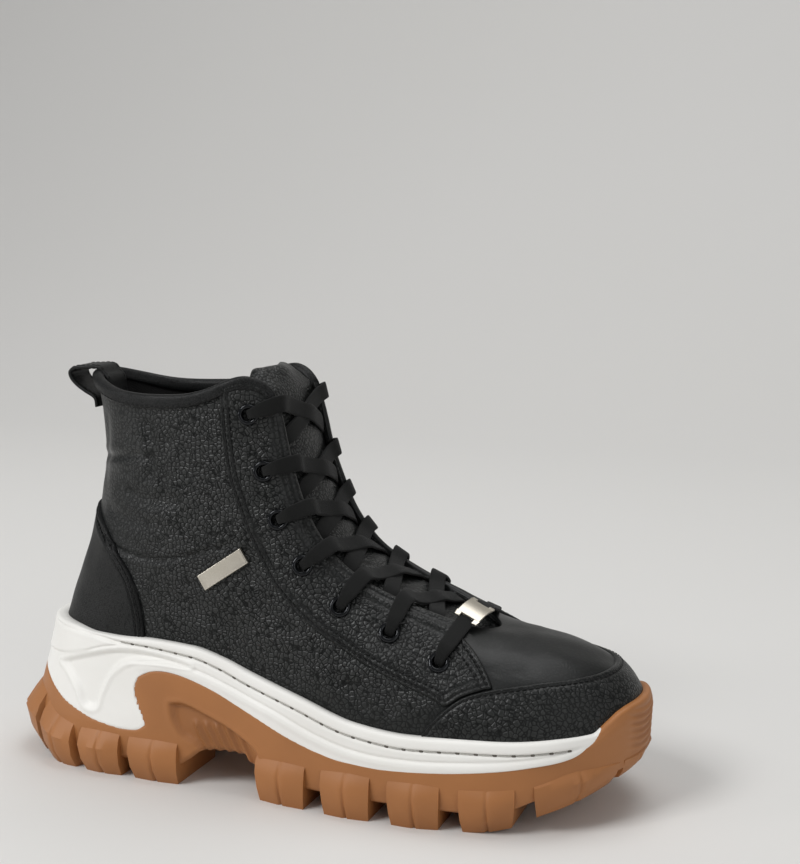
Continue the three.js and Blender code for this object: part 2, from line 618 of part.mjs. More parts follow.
// Outline of the collar's binding in side view, with a gap round it
function bindingOutline(gap) {
  const ribs = Array.from({ length: 2 * BINDING_END + 1 }, (_, i) => i / 2);
  const edge = ribs.map((rib) => {
    const step = 0.1;
    const from = Math.max(rib - step, 0);
    const along = new THREE.Vector2(topX(rib + step) - topX(from), topZ(rib + step) - topZ(from)).normalize();
    return { x: topX(rib), z: topZ(rib), along };
  });
  const last = edge.at(-1);
  last.x += last.along.x * gap;
  last.z += last.along.y * gap;
  const depth = BINDING_HEIGHT + gap;
  const low = edge.map(({ x, z, along }) => [x + along.y * depth, z - along.x * depth]);
  const past = [last.x - last.along.y * depth, last.z + last.along.x * depth];
  const roof = 2 * BOOT_HEIGHT;
  return [[-COLLAR_WIDTH, low[0][1]], ...low, past, [past[0], roof], [-COLLAR_WIDTH, roof]];
}

function makeBinding() {
  return overlay(bindingOutline(0));
}

function makeEyestay(side) {
  const seam = inUpperSizes(EYESTAY_SEAM);
  const roof = seam[0][1];
  const outline = [...seam, [seam.at(-1)[0], roof]];
  const [from, to] = side < 0 ? [-BALL_WIDTH, 0] : [0, BALL_WIDTH];
  return overlay(outline, from, to).subtract(sideCut(bindingOutline(CLEARANCE)));
}

// Rib on the outer side, or its twin on the inner side
const onSide = (rib, side) => (side < 0 ? rib : ROUND - rib);

// One row of the tongue: under one facing, over the crown and under the other facing
function tongueRow(outerSpots, crown, gap) {
  const under = WALL + gap;
  const spots = outerSpots.map(([rib, climb]) => [-1, 1].map((side) => ({
    point: overSkin(onSide(rib, side), climb, -under),
    normal: offSkin(onSide(rib, side), climb),
  })));
  const [[outerFar, innerFar], [outerNear, innerNear]] = spots;
  for (const [far, near] of [[outerFar, outerNear], [innerFar, innerNear]]) {
    near.point.addScaledVector(near.point.clone().sub(far.point).normalize(), 3 * CLEARANCE);
  }
  const middle = outerNear.point.clone().lerp(innerNear.point, 0.5);
  const up = outerNear.normal.clone().add(innerNear.normal).normalize();
  const width = outerNear.point.distanceTo(innerNear.point);
  const control = middle.clone().addScaledVector(up, 2 * crown * width);
  const arc = new THREE.QuadraticBezierCurve3(outerNear.point, control, innerNear.point);
  const crownSpots = [0.25, 0.5, 0.75].map((t) => ({
    point: arc.getPoint(t),
    normal: outerNear.normal.clone().lerp(innerNear.normal, t).lerp(up, 0.5).normalize(),
  }));
  return [outerFar, outerNear, ...crownSpots, innerNear, innerFar];
}

const TONGUE_PLACES = PLACES.filter((rib) => rib >= TONGUE_RIBS[0] && rib <= TONGUE_RIBS[1]);

function tongueRows() {
  const crown = steadyCurve(TONGUE_CROWN);
  const rows = TONGUE_PLACES.map((rib) => (
    tongueRow([[rib, climbBelowEdge(rib, TONGUE_UNDERLAP)], [rib, 1]], crown(rib), 1.5 * CLEARANCE)));
  const ends = TONGUE_END.map(([farRib, farClimb, nearRib, nearClimb]) => (
    tongueRow([[farRib, farClimb], [nearRib, nearClimb]], 0, 4 * CLEARANCE)));
  const middle = Math.floor(rows[0].length / 2);
  const away = rows[0][middle].point.clone().sub(rows[1][middle].point).normalize();
  const above = [1, 0.5].map((share) => rows[0].map(({ point, normal }) => {
    const moved = point.clone().addScaledVector(away, share * TONGUE_ABOVE_FACINGS);
    moved.y *= 1 - TONGUE_TAPER * share;
    return { point: moved, normal };
  }));
  return [...above, ...rows, ...ends];
}
const TONGUE_GRID = tongueRows();
const TONGUE_ROWS = TONGUE_GRID.slice(2, -TONGUE_END.length).map((spots, i) => ({
  rib: TONGUE_PLACES[i], spots }));

function makeTongue() {
  const grid = (depth) => TONGUE_GRID.map((row) => row.map(({ point, normal }) => (
    point.clone().addScaledVector(normal, -depth))));
  return slab(grid(0), grid(TONGUE_THICKNESS));
}

// Ring of an eyelet, standing on the eyestay
const EYESTAY_TOP = CLEARANCE + OVERLAY;
const EYELET_SEAT = EYESTAY_TOP + 2 * CLEARANCE;

function makeEyelet(rib, climb) {
  const hole = EYELET_HOLE / 2;
  const outer = EYELET_OUTER / 2;
  const profile = [[hole, 0], [outer, 0], [outer * 0.86, EYELET_HEIGHT], [hole, EYELET_HEIGHT * 0.75], [hole, 0]];
  const geometry = new THREE.LatheGeometry(profile.map(([r, h]) => new THREE.Vector2(r, h)), 8);
  const turn = new THREE.Quaternion().setFromUnitVectors(new THREE.Vector3(0, 1, 0), offSkin(rib, climb));
  geometry.applyQuaternion(turn);
  const seat = overSkin(rib, climb, EYELET_SEAT);
  geometry.translate(seat.x, seat.y, seat.z);
  return fromGeometry(geometry);
}

// Flat band along spots, each with a point, a direction off the band's face and a width
function band(spots, thickness) {
  const sections = spots.map(({ point, normal, width }, i) => {
    const before = spots[Math.max(i - 1, 0)].point;
    const after = spots[Math.min(i + 1, spots.length - 1)].point;
    const side = after.clone().sub(before).cross(normal).normalize();
    const corner = (across, up) => point.clone()
      .addScaledVector(side, (across * width) / 2)
      .addScaledVector(normal, (up * thickness) / 2);
    return [[corner(-1, 1), corner(1, 1)], [corner(-1, -1), corner(1, -1)]];
  });
  return slab(sections.map(([over]) => over), sections.map(([, under]) => under));
}

// Rib of the throat edge nearest to an eyelet
function edgeRibOf([rib, climb]) {
  const eyelet = overSkin(rib, climb, 0);
  const [first, last] = TONGUE_RIBS;
  let best = first + 0.1;
  for (let place = best; place < last; place += 0.05) {
    if (overSkin(place, 1, 0).distanceTo(eyelet) < overSkin(best, 1, 0).distanceTo(eyelet)) best = place;
  }
  return best;
}
const EDGE_RIBS = EYELETS.map(edgeRibOf);
const LACE_LIFT = CLEARANCE + LACE_THICKNESS / 2;
const LACE_ACROSS = [-0.84, -0.45, -0.05, 0.35, 0.72];
const LACE_START = 0.38;

// Spots of a lace from a throat edge over the facing and down into an eyelet
function laceIntoEyelet(level, side) {
  const [rib, climb] = EYELETS[level];
  const place = onSide(rib, side);
  const edgePlace = onSide(EDGE_RIBS[level], side);
  const seat = overSkin(place, climb, EYELET_SEAT);
  const normal = offSkin(place, climb);
  const edge = {
    point: overSkin(edgePlace, 1, EYESTAY_TOP + LACE_LIFT + LACE_THICKNESS + CLEARANCE),
    normal: offSkin(edgePlace, 1),
    width: LACE_WIDTH,
  };
  const toEdge = edge.point.clone().sub(seat).projectOnPlane(normal).normalize();
  const spot = (distance, height, width) => {
    const point = seat.clone().addScaledVector(toEdge, distance).addScaledVector(normal, height);
    return { point, normal, width };
  };
  const overRing = EYELET_HEIGHT + LACE_LIFT;
  const inHole = EYELET_HOLE - 3 * CLEARANCE;
  return [edge,
    spot(EYELET_OUTER / 2 + LACE_THICKNESS, overRing, (LACE_WIDTH + EYELET_HOLE) / 2),
    spot(EYELET_HOLE / 2 - CLEARANCE, overRing, 0.8 * inHole),
    spot(0, LACE_LIFT, 0.5 * inHole)];
}

// Spot over the tongue: rib of the throat edge, and place across from -1 to 1
function onTongue(rib, across, lift) {
  const rows = TONGUE_ROWS;
  const place = rows.findIndex((row) => row.rib >= rib);
  const before = rows[place - 1];
  const t = (rib - before.rib) / (rows[place].rib - before.rib);
  const column = 3 + 2 * across;
  const k = Math.min(Math.floor(column), 4);
  const mixed = (key) => {
    const first = before.spots[k][key].clone().lerp(before.spots[k + 1][key], column - k);
    const second = rows[place].spots[k][key].clone().lerp(rows[place].spots[k + 1][key], column - k);
    return first.lerp(second, t);
  };
  const normal = mixed('normal').normalize();
  return { point: mixed('point').addScaledVector(normal, lift), normal, width: LACE_WIDTH };
}

// Crossing of the lace between two levels of eyelets: two bands joined where they cross. Each
// starts beside the facing at the lower level and ends in the upper eyelet of the other side.
function makeCrossing(level) {
  const end = EDGE_RIBS[level];
  const start = THREE.MathUtils.lerp(EDGE_RIBS[level + 1], end, LACE_START);
  const strand = (side, extra) => {
    const spots = LACE_ACROSS.map((across, i) => {
      const raised = i > 0 && i < LACE_ACROSS.length - 1 ? extra : 0;
      const climbing = i === LACE_ACROSS.length - 1 ? LACE_THICKNESS + CLEARANCE : 0;
      const rib = THREE.MathUtils.lerp(start, end, i / LACE_ACROSS.length);
      return onTongue(rib, side * across, LACE_LIFT + 2 * CLEARANCE + raised + climbing);
    });
    return band([...spots, ...laceIntoEyelet(level, side)], LACE_THICKNESS);
  };
  return strand(1, 0).add(strand(-1, 0.75 * LACE_THICKNESS));
}

// Straight run of the lace between the lowest pair of eyelets
function laceBarSpots() {
  const level = EYELETS.length - 1;
  const middle = [-0.5, 0, 0.5].map((across) => (
    onTongue(EDGE_RIBS[level], across, LACE_LIFT + WALL + EYESTAY_TOP)));
  return [...laceIntoEyelet(level, -1).reverse(), ...middle, ...laceIntoEyelet(level, 1)];
}

function makeLaceBar() {
  return band(laceBarSpots(), LACE_THICKNESS);
}

// Metal tag over the middle of the lace bar, notched at both ends
function makeLaceTag() {
  const spots = laceBarSpots();
  const { point, normal } = spots[Math.floor(spots.length / 2)];
  const notch = TAG_LENGTH * 0.14;
  const half = TAG_LENGTH / 2;
  const arm = TAG_WIDTH * 0.28;
  const wide = TAG_WIDTH / 2;
  const outline = [[-half, -wide], [half, -wide], [half, -arm], [half - notch, -arm],
    [half - notch, arm], [half, arm], [half, wide], [-half, wide], [-half, arm],
    [notch - half, arm], [notch - half, -arm], [-half, -arm]];
  const shape = new THREE.Shape(outline.map(([x, y]) => new THREE.Vector2(x, y)));
  const geometry = new THREE.ExtrudeGeometry(shape, { depth: TAG_THICKNESS, bevelEnabled: false });
  const across = new THREE.Vector3(0, 1, 0);
  const along = across.clone().cross(normal).normalize();
  geometry.applyMatrix4(new THREE.Matrix4().makeBasis(across, along.clone().negate(), normal));
  const seat = point.clone().addScaledVector(normal, LACE_LIFT);
  geometry.translate(seat.x, seat.y, seat.z);
  return fromGeometry(geometry);
}

// Metal plate on the outer side, bent to the leather under it
const PLATE_LOW = [5.45, 0.34];
const PLATE_HIGH = [7.1, 0.46];

function makeSidePlate() {
  const start = overSkin(...PLATE_LOW, 0);
  const end = overSkin(...PLATE_HIGH, 0);
  const centre = start.clone().lerp(end, 0.5);
  const normal = offSkin((PLATE_LOW[0] + PLATE_HIGH[0]) / 2, (PLATE_LOW[1] + PLATE_HIGH[1]) / 2);
  const along = end.clone().sub(start).normalize();
  const across = normal.clone().cross(along).normalize();
  const onLeather = (a, b) => {
    const wanted = centre.clone().addScaledVector(along, a).addScaledVector(across, b);
    let rib = (PLATE_LOW[0] + PLATE_HIGH[0]) / 2;
    let climb = (PLATE_LOW[1] + PLATE_HIGH[1]) / 2;
    for (let pass = 0; pass < 12; pass += 1) {
      const here = overSkin(rib, climb, 0);
      const off = wanted.clone().sub(here);
      const byRib = overSkin(rib + 0.1, climb, 0).sub(here).divideScalar(0.1);
      const byClimb = overSkin(rib, climb + 0.01, 0).sub(here).divideScalar(0.01);
      const [a1, a2, b1, b2] = [byRib.dot(along), byClimb.dot(along), byRib.dot(across), byClimb.dot(across)];
      const [ra, rb] = [off.dot(along), off.dot(across)];
      const det = a1 * b2 - a2 * b1;
      rib += (ra * b2 - rb * a2) / det;
      climb += (rb * a1 - ra * b1) / det;
    }
    return [rib, climb];
  };
  const lift = 2 * CLEARANCE;
  const grid = (extra) => [-0.5, -0.25, 0, 0.25, 0.5].map((a) => [-0.5, 0, 0.5].map((b) => (
    overSkin(...onLeather(a * PLATE_LENGTH, b * PLATE_WIDTH), lift + extra))));
  return slab(grid(PLATE_THICKNESS), grid(0));
}

// Pull loop: a strap up the back of the heel, out, over the collar and down inside
function makePullLoop() {
  const lift = CLEARANCE + LOOP_THICKNESS / 2;
  const onWall = (distance, off) => overSkin(0, climbBelowEdge(0, distance), off);
  const curved = overSkin(1 / 2, 1, 0).x - overSkin(0, 1, 0).x;
  const top = overSkin(0, 1, 0);
  const spots = [
    ...LOOP_OUTSIDE.map((distance) => onWall(distance, lift)),
    ...LOOP_PATH.map(([x, z]) => new THREE.Vector3(top.x + x, 0, top.z + z)),
    ...LOOP_INSIDE.map((distance) => onWall(distance, -WALL - lift - curved - CLEARANCE)),
  ];
  return band(spots.map((point, i) => {
    const before = spots[Math.max(i - 1, 0)];
    const after = spots[Math.min(i + 1, spots.length - 1)];
    const along = after.clone().sub(before).normalize();
    return { point, normal: new THREE.Vector3(-along.z, 0, along.x), width: LOOP_WIDTH };
  }), LOOP_THICKNESS);
}

// Mesh of one solid, with its material
function part(name, manifold, material) {
  const { numProp, vertProperties, triVerts } = manifold.simplify(FACET_TOLERANCE).getMesh();
  const geometry = new THREE.BufferGeometry();
  const positions = new Float32Array((vertProperties.length / numProp) * 3);
  for (let i = 0; i < positions.length / 3; i += 1) {
    for (let axis = 0; axis < 3; axis += 1) positions[3 * i + axis] = vertProperties[numProp * i + axis];
  }
  geometry.setAttribute('position', new THREE.BufferAttribute(positions, 3));
  geometry.setIndex(Array.from(triVerts));
  geometry.computeVertexNormals();
  const mesh = new THREE.Mesh(geometry, material);
  mesh.name = name;
  return mesh;
}

const MATERIALS = {
  leather: new THREE.MeshStandardMaterial({ color: '#1d1e1d', roughness: 0.5, metalness: 0 }),
  smooth: new THREE.MeshStandardMaterial({ color: '#191a1a', roughness: 0.45, metalness: 0 }),
  lining: new THREE.MeshStandardMaterial({ color: '#232323', roughness: 0.9, metalness: 0 }),
  pale: new THREE.MeshStandardMaterial({ color: '#ecebe7', roughness: 0.55, metalness: 0 }),
  rubber: new THREE.MeshStandardMaterial({ color: '#a06c42', roughness: 0.6, metalness: 0 }),
  gloss: new THREE.MeshStandardMaterial({ color: '#0c0d0e', roughness: 0.2, metalness: 0.6 }),
  lace: new THREE.MeshStandardMaterial({ color: '#161616', roughness: 0.85, metalness: 0 }),
  metal: new THREE.MeshStandardMaterial({ color: '#c9c6bf', roughness: 0.3, metalness: 1 }),
};

const boot = new THREE.Group();
const cupRoom = makeCupRoom();
boot.add(
  part('outsole', makeOutsole(cupRoom), MATERIALS.rubber),
  part('midsole', makeMidsole(cupRoom), MATERIALS.pale),
  part('upper', makeUpper(), MATERIALS.leather),
  part('toe_guard', overlayUnder(GUARD_SEAM), MATERIALS.leather),
  part('heel_counter', overlayUnder(COUNTER_SEAM), MATERIALS.smooth),
  part('collar_binding', makeBinding(), MATERIALS.smooth),
  part('tongue', makeTongue(), MATERIALS.leather),
  part('insole', makeInsole(), MATERIALS.lining),
  part('pull_loop', makePullLoop(), MATERIALS.smooth),
  part('side_plate', makeSidePlate(), MATERIALS.metal),
  part('lace_bar', makeLaceBar(), MATERIALS.lace),
  part('lace_tag', makeLaceTag(), MATERIALS.metal),
);
for (const [sideName, side] of [['outer', -1], ['inner', 1]]) {
  boot.add(part(`eyestay_${sideName}`, makeEyestay(side), MATERIALS.leather));
  EYELETS.forEach(([rib, climb], i) => {
    boot.add(part(`eyelet_${sideName}_${i + 1}`, makeEyelet(onSide(rib, side), climb), MATERIALS.gloss));
  });
}
for (let level = 0; level < EYELETS.length - 1; level += 1) {
  boot.add(part(`lace_crossing_${level + 1}`, makeCrossing(level), MATERIALS.lace));
}

// Origin on the floor, in the middle of the boot's length and width
const extent = new THREE.Box3().setFromObject(boot);
const middle = extent.getCenter(new THREE.Vector3());
boot.position.set(-middle.x, -middle.y, -extent.min.z);

export default boot;
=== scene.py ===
"""Chunky lace-up ankle boot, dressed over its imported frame.

The upper, overlays and sole are surfaces worked out as whole arrays from the same tables
as the part's solids, in millimetres, and put into Blender in metres.
"""
from __future__ import annotations

import logging
import math
from collections.abc import Callable
from dataclasses import dataclass, field
from enum import Enum
from functools import partial

import bmesh
import bpy
import numpy as np
from mathutils import Matrix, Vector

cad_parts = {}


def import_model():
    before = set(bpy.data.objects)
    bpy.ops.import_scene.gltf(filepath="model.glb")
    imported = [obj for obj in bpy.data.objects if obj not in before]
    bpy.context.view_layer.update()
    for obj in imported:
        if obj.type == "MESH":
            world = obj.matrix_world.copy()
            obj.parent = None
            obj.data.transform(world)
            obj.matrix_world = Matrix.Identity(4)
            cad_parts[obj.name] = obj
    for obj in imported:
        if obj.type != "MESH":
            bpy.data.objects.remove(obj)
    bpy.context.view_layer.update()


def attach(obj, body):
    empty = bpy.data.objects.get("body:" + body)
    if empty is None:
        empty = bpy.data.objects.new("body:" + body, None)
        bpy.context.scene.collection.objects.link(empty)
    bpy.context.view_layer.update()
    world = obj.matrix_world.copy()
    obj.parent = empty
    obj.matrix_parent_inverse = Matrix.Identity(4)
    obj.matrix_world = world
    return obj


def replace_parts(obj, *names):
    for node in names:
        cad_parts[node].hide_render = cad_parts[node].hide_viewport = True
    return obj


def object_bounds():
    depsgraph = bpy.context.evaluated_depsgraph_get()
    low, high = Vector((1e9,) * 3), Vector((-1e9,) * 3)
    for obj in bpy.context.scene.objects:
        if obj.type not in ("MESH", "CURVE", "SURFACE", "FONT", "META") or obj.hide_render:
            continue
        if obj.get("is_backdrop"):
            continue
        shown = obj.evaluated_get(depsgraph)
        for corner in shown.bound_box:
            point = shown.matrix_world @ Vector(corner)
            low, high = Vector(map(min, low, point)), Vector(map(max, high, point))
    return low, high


log = logging.getLogger("boot")

# Driving sizes in millimetres, as in the part's source
MM = 0.001
UPPER_LENGTH = 271.5
BALL_WIDTH = 92.0
BOOT_HEIGHT = 180.0
COLLAR_WIDTH = 58.0
WALL = 2.2
HEEL_RIM = 67.0
SOLE_SPREAD = 20.0
OVERLAY = 1.2
CLEARANCE = 0.3
LACE_WIDTH = 7.4
LACE_THICKNESS = 1.3
ORIGIN = np.array([-128.5, 0.45, 0.0])

# Ribs of the upper from the heel over the outer side to the toe: feather point along, outer
# and inner; top point along, aside and high; handles rise, flare, drop and reach
RIBS = np.array([
    [0.000, 0.000, 0.000, 0.076, 0.000, 0.990, 0.23, -0.078, 0.40, -0.174],
    [0.020, 0.152, 0.147, 0.088, 0.190, 0.984, 0.23, -0.072, 0.40, -0.150],
    [0.072, 0.277, 0.270, 0.127, 0.353, 0.966, 0.24, -0.050, 0.40, -0.090],
    [0.142, 0.337, 0.321, 0.175, 0.450, 0.952, 0.27, -0.010, 0.38, -0.020],
    [0.223, 0.370, 0.332, 0.238, 0.510, 0.950, 0.29, 0.010, 0.37, 0.020],
    [0.297, 0.386, 0.326, 0.304, 0.530, 0.958, 0.29, 0.022, 0.37, 0.030],
    [0.355, 0.397, 0.326, 0.355, 0.520, 0.984, 0.30, 0.030, 0.36, 0.035],
    [0.403, 0.413, 0.332, 0.396, 0.466, 1.000, 0.30, 0.030, 0.35, 0.060],
    [0.444, 0.432, 0.342, 0.436, 0.385, 0.961, 0.30, 0.030, 0.35, 0.100],
    [0.488, 0.451, 0.359, 0.456, 0.370, 0.848, 0.31, 0.030, 0.34, 0.130],
    [0.540, 0.473, 0.386, 0.486, 0.375, 0.694, 0.33, 0.030, 0.27, 0.150],
    [0.595, 0.489, 0.424, 0.536, 0.375, 0.577, 0.38, 0.030, 0.19, 0.155],
    [0.657, 0.502, 0.462, 0.610, 0.360, 0.504, 0.43, 0.027, 0.15, 0.155],
    [0.724, 0.505, 0.495, 0.687, 0.310, 0.457, 0.48, 0.027, 0.13, 0.155],
    [0.790, 0.489, 0.500, 0.735, 0.240, 0.430, 0.54, 0.030, 0.11, 0.180],
    [0.856, 0.451, 0.467, 0.758, 0.170, 0.418, 0.60, 0.035, 0.11, 0.220],
    [0.915, 0.364, 0.397, 0.770, 0.106, 0.413, 0.65, 0.042, 0.10, 0.270],
    [0.963, 0.234, 0.304, 0.776, 0.056, 0.411, 0.69, 0.055, 0.09, 0.310],
    [0.991, 0.092, 0.185, 0.779, 0.017, 0.410, 0.71, 0.068, 0.09, 0.330],
    [1.000, -0.054, 0.054, 0.779, 0.000, 0.410, 0.72, 0.072, 0.09, 0.330],
])
LAST_RIB = len(RIBS) - 1
ROUND = 2 * LAST_RIB

# Spread of the sole off the feather edge: rim, band, rubber, lug and foot, share of the spread
SPREADS = np.array([
    [0.20, 0.55, 0.76, 1.00, 0.72], [0.20, 0.52, 0.74, 0.98, 0.70],
    [0.19, 0.46, 0.64, 0.84, 0.58], [0.18, 0.38, 0.52, 0.68, 0.45],
    [0.17, 0.33, 0.42, 0.55, 0.34], [0.17, 0.29, 0.36, 0.48, 0.30],
    [0.16, 0.27, 0.32, 0.44, 0.29], [0.16, 0.26, 0.30, 0.42, 0.29],
    [0.16, 0.25, 0.30, 0.42, 0.30], [0.16, 0.25, 0.30, 0.42, 0.31],
    [0.16, 0.25, 0.30, 0.42, 0.32], [0.16, 0.25, 0.30, 0.42, 0.30],
    [0.16, 0.25, 0.29, 0.40, 0.26], [0.16, 0.24, 0.28, 0.38, 0.20],
    [0.16, 0.24, 0.27, 0.36, 0.12], [0.16, 0.23, 0.26, 0.34, 0.06],
    [0.16, 0.22, 0.24, 0.31, 0.03], [0.17, 0.22, 0.22, 0.26, 0.02],
    [0.18, 0.22, 0.21, 0.22, 0.04], [0.19, 0.22, 0.20, 0.20, 0.06],
])

# Heights along the sole: share of the upper's length, share of the rim height
RIM_TOP = [[-0.10, 0.945], [0.020, 0.965], [0.068, 0.962], [0.123, 0.943], [0.160, 0.943],
           [0.230, 0.955], [0.308, 0.940], [0.363, 0.890], [0.414, 0.820], [0.503, 0.715],
           [0.602, 0.602], [0.683, 0.572], [0.768, 0.582], [0.842, 0.584], [0.904, 0.594],
           [0.955, 0.602], [0.974, 0.660], [0.989, 0.706], [1.004, 0.725], [1.050, 0.735]]
CUP_FLOOR = [[-0.05, 0.840], [0.160, 0.825], [0.260, 0.817], [0.308, 0.800], [0.363, 0.750],
             [0.414, 0.690], [0.503, 0.590], [0.602, 0.485], [0.683, 0.455], [0.768, 0.460],
             [0.904, 0.477], [1.010, 0.510]]
FLOOR_LINE = [[-0.080, 0.115], [-0.040, 0.070], [0.000, 0.030], [0.045, 0.000],
              [0.500, 0.000], [0.780, 0.000], [0.842, 0.035], [0.880, 0.100], [0.915, 0.150],
              [0.952, 0.210], [0.989, 0.280], [1.020, 0.345]]
BASE_LINE = [[-0.080, 0.235], [-0.040, 0.180], [0.045, 0.125], [0.275, 0.125], [0.300, 0.180],
             [0.325, 0.250], [0.390, 0.265], [0.415, 0.200], [0.435, 0.130], [0.780, 0.125],
             [0.842, 0.155], [0.880, 0.215], [0.915, 0.260], [0.952, 0.300], [0.989, 0.330],
             [1.020, 0.360]]
LUG_TOP = [[-0.080, 0.420], [0.000, 0.370], [0.050, 0.300], [0.105, 0.272], [0.500, 0.266],
           [0.800, 0.266], [0.880, 0.315], [0.940, 0.385], [1.020, 0.400]]

# Line between the pale midsole and the rubber, and the place on the rim that each point of
# it is ruled to, in the same shares
COLOUR_LINE = [
    [-0.042, 0.625, 0.000], [-0.009, 0.585, 0.012], [0.028, 0.515, 0.030],
    [0.064, 0.448, 0.050], [0.123, 0.367, 0.085], [0.175, 0.331, 0.115],
    [0.208, 0.338, 0.140], [0.224, 0.375, 0.152], [0.220, 0.440, 0.164],
    [0.208, 0.520, 0.176], [0.202, 0.610, 0.190], [0.209, 0.690, 0.204],
    [0.234, 0.742, 0.226], [0.263, 0.754, 0.254], [0.300, 0.731, 0.294],
    [0.352, 0.664, 0.350], [0.400, 0.582, 0.400], [0.477, 0.455, 0.477],
    [0.530, 0.392, 0.530], [0.575, 0.356, 0.575], [0.646, 0.342, 0.646],
    [0.742, 0.367, 0.742], [0.810, 0.397, 0.810], [0.871, 0.434, 0.871],
    [0.930, 0.478, 0.926], [0.957, 0.552, 0.952], [0.969, 0.640, 0.966]]

# Side-view outlines in the same shares: the rubber's arch panel, the midsole's scoop at the
# heel and the facet behind it
ARCH_PANEL = [[0.268, 0.555], [0.293, 0.565], [0.341, 0.505], [0.394, 0.415],
              [0.433, 0.290], [0.420, 0.050], [0.320, 0.050], [0.322, 0.260],
              [0.290, 0.345], [0.272, 0.455]]
SCOOP = [[0.041, 0.697], [0.068, 0.748], [0.121, 0.815], [0.159, 0.852], [0.212, 0.870],
         [0.268, 0.852], [0.310, 0.812], [0.240, 0.812], [0.190, 0.785], [0.158, 0.700],
         [0.139, 0.567], [0.128, 0.450], [0.104, 0.450], [0.086, 0.560], [0.060, 0.660]]
HEEL_FACET = [[-0.06, 0.700], [0.014, 0.740], [0.059, 0.767], [0.102, 0.817], [0.137, 0.863],
              [0.165, 0.890], [0.139, 0.910], [0.093, 0.925], [0.040, 0.930], [-0.06, 0.905]]

# Seams of the overlays in side view: share of the upper's length, share of boot height
GUARD_SEAM = [[0.703, 0.200], [0.716, 0.235], [0.734, 0.265], [0.763, 0.299], [0.797, 0.317],
              [0.840, 0.327], [0.881, 0.332], [0.918, 0.334], [0.966, 0.335], [1.050, 0.335]]
COUNTER_SEAM = [[-0.050, 0.662], [0.075, 0.659], [0.090, 0.645], [0.126, 0.610],
                [0.151, 0.568], [0.174, 0.529], [0.194, 0.488], [0.208, 0.433],
                [0.215, 0.363], [0.216, 0.330]]
EYESTAY_SEAM = [[0.355, 0.984], [0.355, 0.954], [0.360, 0.874], [0.368, 0.795],
                [0.380, 0.732], [0.413, 0.619], [0.457, 0.514], [0.518, 0.432],
                [0.570, 0.387], [0.613, 0.354], [0.669, 0.321], [0.722, 0.294],
                [0.742, 0.281], [0.765, 0.301], [0.797, 0.318], [0.808, 0.322],
                [0.801, 0.340], [0.788, 0.362], [0.772, 0.383], [0.756, 0.400],
                [0.742, 0.412]]
# Rib and climb of each eyelet from the collar down
EYELETS = np.array([[7.1, .89], [7.7, .74], [8.45, .65], [9.6, .64], [10.9, .65],
                    [12.1, .66], [13.2, .56]])
LAST_EYELET = len(EYELETS) - 1
# Rib at which the binding ends, heights of flanges and thread over the skin, and the radii
# between which an eyelet's hole fades
BINDING_END = 8.0
EYELET_SEAT = CLEARANCE + OVERLAY
THREAD_SEAT = EYELET_SEAT + 0.02
HOLE_RADII = (2.3, 3.4)

# Creases and panel lines of the upper in side view, shares of its length and the boot's
# height, with depth and width in millimetres: seams first, then soft folds of the leather
CREASES = [
    ([[0.085, 0.640], [0.120, 0.590], [0.165, 0.560], [0.215, 0.550], [0.256, 0.553],
      [0.331, 0.583], [0.392, 0.612]], 0.80, 1.0),
    ([[0.090, 0.775], [0.150, 0.792], [0.199, 0.801], [0.240, 0.796]], 0.60, 1.6),
    ([[0.120, 0.905], [0.118, 0.800], [0.105, 0.700]], 0.30, 2.4),
    ([[0.215, 0.900], [0.232, 0.820], [0.226, 0.735]], 0.75, 2.4),
    ([[0.262, 0.870], [0.250, 0.790], [0.256, 0.700]], 0.65, 2.4),
    ([[0.170, 0.720], [0.220, 0.695], [0.290, 0.700]], 0.60, 3.0),
    ([[0.120, 0.660], [0.180, 0.640], [0.260, 0.640]], 0.35, 2.8),
    ([[0.400, 0.560], [0.440, 0.470], [0.500, 0.400]], 0.40, 4.0),
    ([[0.240, 0.470], [0.320, 0.440], [0.400, 0.380]], 0.35, 4.5),
    ([[0.560, 0.330], [0.600, 0.290], [0.620, 0.250]], 0.45, 3.0),
    ([[0.600, 0.335], [0.645, 0.290], [0.665, 0.245]], 0.40, 3.0),
    ([[0.800, 0.395], [0.812, 0.370], [0.806, 0.345]], 0.10, 3.2),
    ([[0.830, 0.388], [0.846, 0.365], [0.842, 0.342]], 0.08, 3.2),
]

# Depth of the stitched groove under the rim, share of the upper's length and millimetres
GROOVE = [[-0.10, 0.4], [0.040, 0.5], [0.093, 0.9], [0.139, 1.4], [0.165, 2.2], [0.215, 3.5],
          [0.300, 4.6], [0.400, 5.3], [0.600, 5.5], [0.900, 5.0], [0.975, 4.2]]
# Second crease of the pale band, share of length and of the rim height
BAND_CREASE = [[0.190, 0.785], [0.207, 0.795], [0.239, 0.813], [0.273, 0.816],
               [0.323, 0.787], [0.370, 0.729], [0.417, 0.664], [0.464, 0.602],
               [0.530, 0.505], [0.602, 0.437], [0.683, 0.424], [0.768, 0.443],
               [0.842, 0.470], [0.904, 0.502], [0.950, 0.548]]
# Gaps between lugs and ends of the arch, shares of length, and gaps given by rib
HEEL_GAPS = (0.087, 0.184)
FORE_GAPS = (0.532, 0.6443, 0.7567, 0.8690)
ARCH_ENDS = (0.284, 0.428)
HEEL_CENTRE = 0.15
BACK_GAP_RIB = 1.45
TOE_GAP_RIB = 17.45


